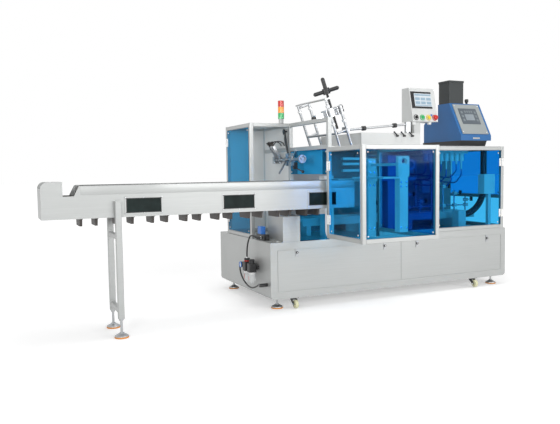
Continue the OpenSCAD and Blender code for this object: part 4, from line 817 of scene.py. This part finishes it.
class CARTONER_OT_air_unit(bpy.types.Operator):
    """Gauge face, rim and marks, knob ring and ribs, bowl bands and marks, and the two air hoses with nuts"""
    bl_idname = "cartoner.air_unit"
    bl_label = "Air unit"

    def execute(self, context):
        outward = facing(LEFT)
        dial = at(*GAUGE_AT)
        face = disc(GAUGE_FACE_R, 0.0008, 0.0002, 32)
        add_piece("gauge_face", [moved(face, dial, outward)], "white_plastic")
        rim = turned([(0.0235, -0.002), (0.0235, 0.003), (0.0215, 0.0045), (GAUGE_FACE_R, 0.003),
                      (GAUGE_FACE_R, 0.0004)], 32)
        add_piece("gauge_rim", [moved(rim, dial, outward)], "blue_plastic")
        marks = [rod((0, 0, 0.0014), (0.008, 0.01, 0.0014), 0.0006, 6)]
        for angle in np.radians(np.arange(-135, 136, 27)):
            way = np.array([math.sin(angle), math.cos(angle), 0])
            inner, outer = (way * reach + (0, 0, 0.0008) for reach in (0.0125, 0.0165))
            marks.append(rod(inner, outer, 0.0005, 6))
        add_piece("gauge_marks", [moved(mark, dial, outward) for mark in marks], "black_plastic")
        ring = turned([(0.0204, 0), (0.0224, 0.001), (0.0224, 0.007), (0.0204, 0.008)], 32)
        add_piece("knob_ring", [moved(ring, at(BOWL_X, BOWL_YS[1], KNOB_RING_Z))], "red_plastic")
        ribs = []
        for y in BOWL_YS:
            for angle in np.linspace(0, 2 * math.pi, RIB_COUNT, endpoint=False):
                foot = at(BOWL_X, y, RIB_Z) + KNOB_R * np.array([math.cos(angle), math.sin(angle), 0])
                ribs.append(rod(foot, foot + (0, 0, RIB_H), 0.0013, 6))
        add_piece("knob_ribs", ribs, "black_plastic")
        band = turned([(0.0257, 0), (0.0263, 0.001), (0.0263, 0.013), (0.0257, 0.014)], 32)
        add_piece("bowl_bands", [moved(band, at(BOWL_X, y, BAND_Z)) for y in BOWL_YS], "white_plastic")
        levels = [slab(BOWL_MARK_XS, ys, zs, 0.0004) for ys, zs in BOWL_MARKS]
        add_piece("bowl_marks", levels, "red_plastic")
        diameter = context.scene.cartoner_sizes.air_hose_d
        for name, points in (("upper", UPPER_HOSE), ("lower", LOWER_HOSE)):
            path = smooth_path([at(*p) for p in points], 5)
            line = add_piece("air_line_" + name, [hose(path, diameter / 2, 12)], "hose_rubber")
            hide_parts("air_hose_" + name)
        nut = turned([(0.0085, 0), (0.0105, 0.002), (0.0105, 0.012), (0.0085, 0.014)], 6)
        nuts = [moved(nut, at(*place), facing(way)) for place, way in SIDE_NUTS]
        add_piece("hose_nuts", [moved(nut, at(*TOP_NUT_AT)), *nuts], "chrome")
        return {"FINISHED"}


MAGAZINE_AT, LEAN = (582, -12, 1206), math.radians(19)
MAGAZINE_TURN = np.column_stack([(math.cos(LEAN), 0, math.sin(LEAN)), REAR,
                                 (-math.sin(LEAN), 0, math.cos(LEAN))])
THREAD_AT, THREAD_R, THREAD_L = (0.06, 0.062, 0.29), 0.0088, 0.1
THREAD_TURNS, THREAD_STEPS = 26, 14
CLAMP_KNOBS = (((0.126, 0.062, 0.24), RIGHT), ((0.126, 0.062, 0.268), RIGHT), ((-0.096, 0.062, 0.253), LEFT))
ROD_COLLARS = ((0, 0, 0.3), (0, 0.462, 0.3), (0.1, 0.462, 0.3), (0.1, 0, 0.16), (0, 0, 0.16))
ADJUSTER_XS, ADJUSTER_FACE, ADJUSTER_ZS = (0.02, 0.045, 0.08), 0.043, (0.236, 0.27)


def on_magazine(shape):
    """A shape drawn along the magazine's leaning rods in metres, put in its place."""
    return moved(shape, at(*MAGAZINE_AT), MAGAZINE_TURN)


class CARTONER_OT_magazine_details(bpy.types.Operator):
    """Thread of the adjusting screw, clamp knobs, rod collars and adjuster screws of the magazine"""
    bl_idname = "cartoner.magazine_details"
    bl_label = "Magazine details"

    def execute(self, context):
        t = np.linspace(0, 1, THREAD_TURNS * THREAD_STEPS)
        angle = t * THREAD_TURNS * 2 * math.pi
        helix = np.column_stack([THREAD_R * np.cos(angle), THREAD_R * np.sin(angle), t * THREAD_L])
        thread = hose(helix + THREAD_AT, 0.0012, 6)
        add_piece("screw_thread", [on_magazine(thread)], "black_coat", "hand_crank")
        knob = turned([(0.008, 0), (0.008, 0.008), (0.019, 0.010), (0.020, 0.014), (0.020, 0.022),
                       (0.017, 0.026), (0.006, 0.028)], 20)
        knobs = [on_magazine(moved(knob, place, facing(way))) for place, way in CLAMP_KNOBS]
        add_piece("clamp_knobs", knobs, "black_plastic")
        collar = turned([(0.0102, 0), (0.0165, 0.0005), (0.0165, 0.017), (0.0102, 0.0175)], 24)
        add_piece("rod_collars", [on_magazine(moved(collar, place)) for place in ROD_COLLARS], "brushed_z")
        heads = [on_magazine(screw((x, ADJUSTER_FACE, z), FRONT, 0.012))
                 for x in ADJUSTER_XS for z in ADJUSTER_ZS]
        add_piece("adjuster_screws", heads, "chrome")
        return {"FINISHED"}


VALVE_COUNT, VALVE_X, VALVE_STEP, VALVE_Y, VALVE_Z = 8, 1560, 56, 211, 1088
VALVE_TUBE_R, PICKER_TUBE_R, PICKER_YS = 0.006, 0.004, (470, 530)
GUIDE_XS, GUIDE_Y, GUIDE_FOOT, GUIDE_ZS = range(1080, 2110, 128), 330, 639, (770, 956, 894, 832)
ARM_XS, ARM_Y, ARM_DOWN = (-34, 58), 315, 30
RAIL_XS, RAIL_Y, RAIL_Z = (1050, 2110), 314, 694
CLAMP_W, CLAMP_YS, CLAMP_H = 30, (308, 344), 28
SENSOR_XS, SENSOR_YS, SENSOR_ZS = (48, 66), (304, 326), (-14, 24)
WALL_BOXES, WALL_BOX_YS = ((1290, 930), (1460, 760), (1620, 980), (1810, 800)), (572, 621)
WALL_BOX_W, WALL_BOX_H = 92, 120
UPRIGHT_PIPE_XS, UPRIGHT_PIPE_Y, UPRIGHT_PIPE_ZS = (1240, 1420, 1440, 1590, 1760, 1950), 610, (660, 1170)
LEVEL_PIPE_XS, LEVEL_PIPE_Y, LEVEL_PIPE_ZS = (1100, 2150), 606, (1120, 1146)
# Bolts in mm and metres: columns in x, face in y, rows in z, width and height of the head
DRIVE_BOLTS = (
    ((858, 898), 0, (1085, 1000, 900, 560), 0.014, 0.006),
    ((854, 902), -410, (600, 900, 930), 0.012, 0.005),
    ((298, 344), 546, (1092, 1132), 0.012, 0.005),
)


def valve_tube(i):
    """Air tube of one valve: a curve down from the valve bank and back to the wall."""
    x, top = VALVE_X + VALVE_STEP * i, VALVE_Z - 44 * (0.6 + i % 3)
    low = top - 84 - 5 * i
    route = [at(x, VALVE_Y, top), at(x, VALVE_Y, top - 24), at(x + 6, 222, top - 56),
             at(x + 20, 262, top - 78), at(x + 40, 340, low), at(x + 60, 470, low), at(x + 66, 619, low + 6)]
    return hose(smooth_path(route, 5), VALVE_TUBE_R, 8)


def picker_tube(y):
    """Air tube of one suction arm: a curve over the picker's shaft."""
    route = [at(250, y, 1196), at(262, y + 8, 1240), at(300, y + 14, 1262), at(338, y + 10, 1250),
             at(352, y + 6, 1225)]
    return hose(smooth_path(route, 6), PICKER_TUBE_R, 8)


class CARTONER_OT_drive_details(bpy.types.Operator):
    """Air tubes, guides, sensors, wall boxes, pipes and bolts behind the blue panes and in the cage"""
    bl_idname = "cartoner.drive_details"
    bl_label = "Drive details"

    def execute(self, context):
        add_piece("air_tubes", [valve_tube(i) for i in range(VALVE_COUNT)], "blue_plastic")
        add_piece("picker_tubes", [picker_tube(y) for y in PICKER_YS], "hose_rubber")
        guides = [rod(*(at(x, RAIL_Y, RAIL_Z) for x in RAIL_XS), 0.006)]
        clamps, sensors = [], []
        for i, x in enumerate(GUIDE_XS):
            top = GUIDE_ZS[i % len(GUIDE_ZS)]
            arm = top - ARM_DOWN
            guides.append(rod(at(x, GUIDE_Y, GUIDE_FOOT), at(x, GUIDE_Y, top), 0.007))
            guides.append(rod(*(at(x + u, ARM_Y, arm) for u in ARM_XS), 0.005))
            clamps += [slab(span(x, CLAMP_W), CLAMP_YS, span(z, CLAMP_H), 0.002) for z in (RAIL_Z, arm)]
            sensor_xs, sensor_zs = [x + u for u in SENSOR_XS], [arm + u for u in SENSOR_ZS]
            sensors.append(slab(sensor_xs, SENSOR_YS, sensor_zs, 0.002))
        add_piece("track_guides", guides, "chrome")
        add_piece("guide_clamps", clamps, "machined")
        add_piece("guide_sensors", sensors, "black_plastic")
        boxes = [slab((x, x + WALL_BOX_W), WALL_BOX_YS, (z, z + WALL_BOX_H), 0.004) for x, z in WALL_BOXES]
        add_piece("wall_boxes", boxes, "machined")
        pipes = [rod(*(at(x, UPRIGHT_PIPE_Y, z) for z in UPRIGHT_PIPE_ZS), 0.009) for x in UPRIGHT_PIPE_XS]
        pipes += [rod(*(at(x, LEVEL_PIPE_Y, z) for x in LEVEL_PIPE_XS), 0.011) for z in LEVEL_PIPE_ZS]
        add_piece("wall_pipes", pipes, "brushed_x")
        bolts = [bolt(at(x, face, z), FRONT, width, height)
                 for xs, face, zs, width, height in DRIVE_BOLTS for x in xs for z in zs]
        add_piece("drive_bolts", bolts, "chrome")
        return {"FINISHED"}


CAMERA_AT = (-2.19205, -4.29742, 1.02662)
CAMERA_YAW, CAMERA_PITCH, CAMERA_ROLL = 25.0947, 3.8059, 0.8044
CAMERA_LENS, CAMERA_SENSOR = 40.056, 36
FLOOR_HALF, FLOOR_TONE = 60, (0.86, 0.86, 0.86)
GLOW_REACH, GLOW = (2.0, 6.0), (0.36, 0.68)
WORLD_LIGHT, WORLD_SEEN = 0.4, 1.0
# Lamps: name, place, the point that they face, side of the square in metres, and watts
LAMPS = (
    ("key_lamp", (3.6, -5.6, 1.9), (0.4, 0, 0.6), 1.6, 90),
    ("fill_lamp", (0.6, -5.8, 2.1), (-0.3, 0.3, 0.95), 1.8, 65),
    ("side_lamp", (-3.6, -4.6, 1.9), (-0.1, 0.4, 1.1), 1.2, 75),
    ("cage_lamp", (-1.25, -0.3, 1.3), (-0.05, 0.5, 1.15), 0.5, 7),
    ("top_lamp", (0.6, -0.5, 6.0), (0.4, 0, 0.6), 4.0, 140),
)


def camera_matrix():
    """Columns right, up and back of a camera turned by yaw about z, tipped down by pitch, and rolled."""
    yaw, pitch, roll = (math.radians(a) for a in (CAMERA_YAW, CAMERA_PITCH, CAMERA_ROLL))
    ahead = np.array([math.sin(yaw) * math.cos(pitch), math.cos(yaw) * math.cos(pitch), -math.sin(pitch)])
    right = np.array([math.cos(yaw), -math.sin(yaw), 0])
    up = np.cross(right, ahead)
    columns = np.eye(4)
    columns[:3, 0] = math.cos(roll) * right - math.sin(roll) * up
    columns[:3, 1] = math.sin(roll) * right + math.cos(roll) * up
    columns[:3, 2] = -ahead
    columns[:3, 3] = CAMERA_AT
    return Matrix(columns.tolist())


def seen_directly(tree):
    """1 for rays that come from the camera, from a mirror or through glass."""
    rays = tree.nodes.new("ShaderNodeLightPath")
    total = rays.outputs["Is Camera Ray"]
    for name in ("Is Glossy Ray", "Is Transmission Ray"):
        total = combined(tree, "MAXIMUM", total, rays.outputs[name])
    return total


def pale_floor():
    """A wide square whose own glow, to rays that see it directly, grows with the distance from the middle."""
    material, tree, shader = new_finish("floor", FLOOR_TONE, 0.9)
    shader.inputs["Emission Color"].default_value = (1, 1, 1, 1)
    place = tree.nodes.new("ShaderNodeTexCoord")
    away = tree.nodes.new("ShaderNodeVectorMath")
    away.operation = "LENGTH"
    tree.links.new(place.outputs["Object"], away.inputs[0])
    glow = mapped(tree, away.outputs["Value"], *GLOW_REACH, *GLOW)
    shown = combined(tree, "MULTIPLY", glow, seen_directly(tree))
    tree.links.new(shown, shader.inputs["Emission Strength"])
    mesh = bpy.data.meshes.new("floor")
    corners = [(FLOOR_HALF * x, FLOOR_HALF * y, 0) for x, y in ((-1, -1), (1, -1), (1, 1), (-1, 1))]
    mesh.from_pydata(corners, [], [(0, 1, 2, 3)])
    mesh.materials.append(material)
    floor = bpy.data.objects.new("floor", mesh)
    bpy.context.scene.collection.objects.link(floor)


def soft_lamp(name, place, aim, size, watts):
    """A large square lamp that faces a point."""
    lamp = bpy.data.lights.new(name, "AREA")
    lamp.size = size
    lamp.energy = watts
    holder = bpy.data.objects.new(name, lamp)
    turn = np.eye(4)
    turn[:3, :3] = facing(np.array(place) - np.array(aim))
    turn[:3, 3] = place
    holder.matrix_world = Matrix(turn.tolist())
    holder.visible_camera = False
    bpy.context.scene.collection.objects.link(holder)


class CARTONER_OT_stage(bpy.types.Operator):
    """Pale floor, soft studio light and the camera"""
    bl_idname = "cartoner.stage"
    bl_label = "Stage"

    def execute(self, context):
        scene = context.scene
        scene.view_settings.view_transform = "Standard"
        pale_floor()
        for lamp in LAMPS:
            soft_lamp(*lamp)
        world = scene.world or bpy.data.worlds.new("studio")
        scene.world = world
        world.use_nodes = True
        tree = world.node_tree
        sky = tree.nodes["Background"]
        sky.inputs["Color"].default_value = (1, 1, 1, 1)
        ranged(tree, seen_directly(tree), sky.inputs["Strength"], WORLD_LIGHT, WORLD_SEEN)
        camera = bpy.data.cameras.new("camera")
        camera.sensor_width = CAMERA_SENSOR
        camera.lens = CAMERA_LENS
        holder = bpy.data.objects.new("camera", camera)
        holder.matrix_world = camera_matrix()
        scene.collection.objects.link(holder)
        scene.camera = holder
        return {"FINISHED"}


class CARTONER_PT_pieces(bpy.types.Panel):
    """Colours, sizes and the operators that make the pieces"""
    bl_idname = "CARTONER_PT_pieces"
    bl_label = "Cartoner"
    bl_space_type = "VIEW_3D"
    bl_region_type = "UI"
    bl_category = "Cartoner"

    def draw(self, context):
        for group in (context.scene.cartoner_colours, context.scene.cartoner_sizes):
            for name in group.__annotations__:
                self.layout.prop(group, name)
        for operator in PIECES:
            self.layout.operator(operator.bl_idname)


PIECES = (CARTONER_OT_finishes, CARTONER_OT_guard_fixings, CARTONER_OT_conveyor_fixings,
          CARTONER_OT_cabinet_fixings, CARTONER_OT_operator_panel, CARTONER_OT_melter_details,
          CARTONER_OT_air_unit, CARTONER_OT_magazine_details, CARTONER_OT_drive_details, CARTONER_OT_stage)
CLASSES = (CartonerColours, CartonerSizes, *PIECES, CARTONER_PT_pieces)


def register():
    """Registers the classes and gives the scene its colours and sizes."""
    for cls in CLASSES:
        bpy.utils.register_class(cls)
    bpy.types.Scene.cartoner_colours = PointerProperty(type=CartonerColours)
    bpy.types.Scene.cartoner_sizes = PointerProperty(type=CartonerSizes)


def unregister():
    """Takes the colours, sizes and classes away again."""
    del bpy.types.Scene.cartoner_sizes
    del bpy.types.Scene.cartoner_colours
    for cls in reversed(CLASSES):
        bpy.utils.unregister_class(cls)


def main():
    """Registers the add-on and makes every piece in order."""
    register()
    for operator in PIECES:
        group, name = operator.bl_idname.split(".")
        getattr(getattr(bpy.ops, group), name)()


if __name__ == "__main__":
    main()
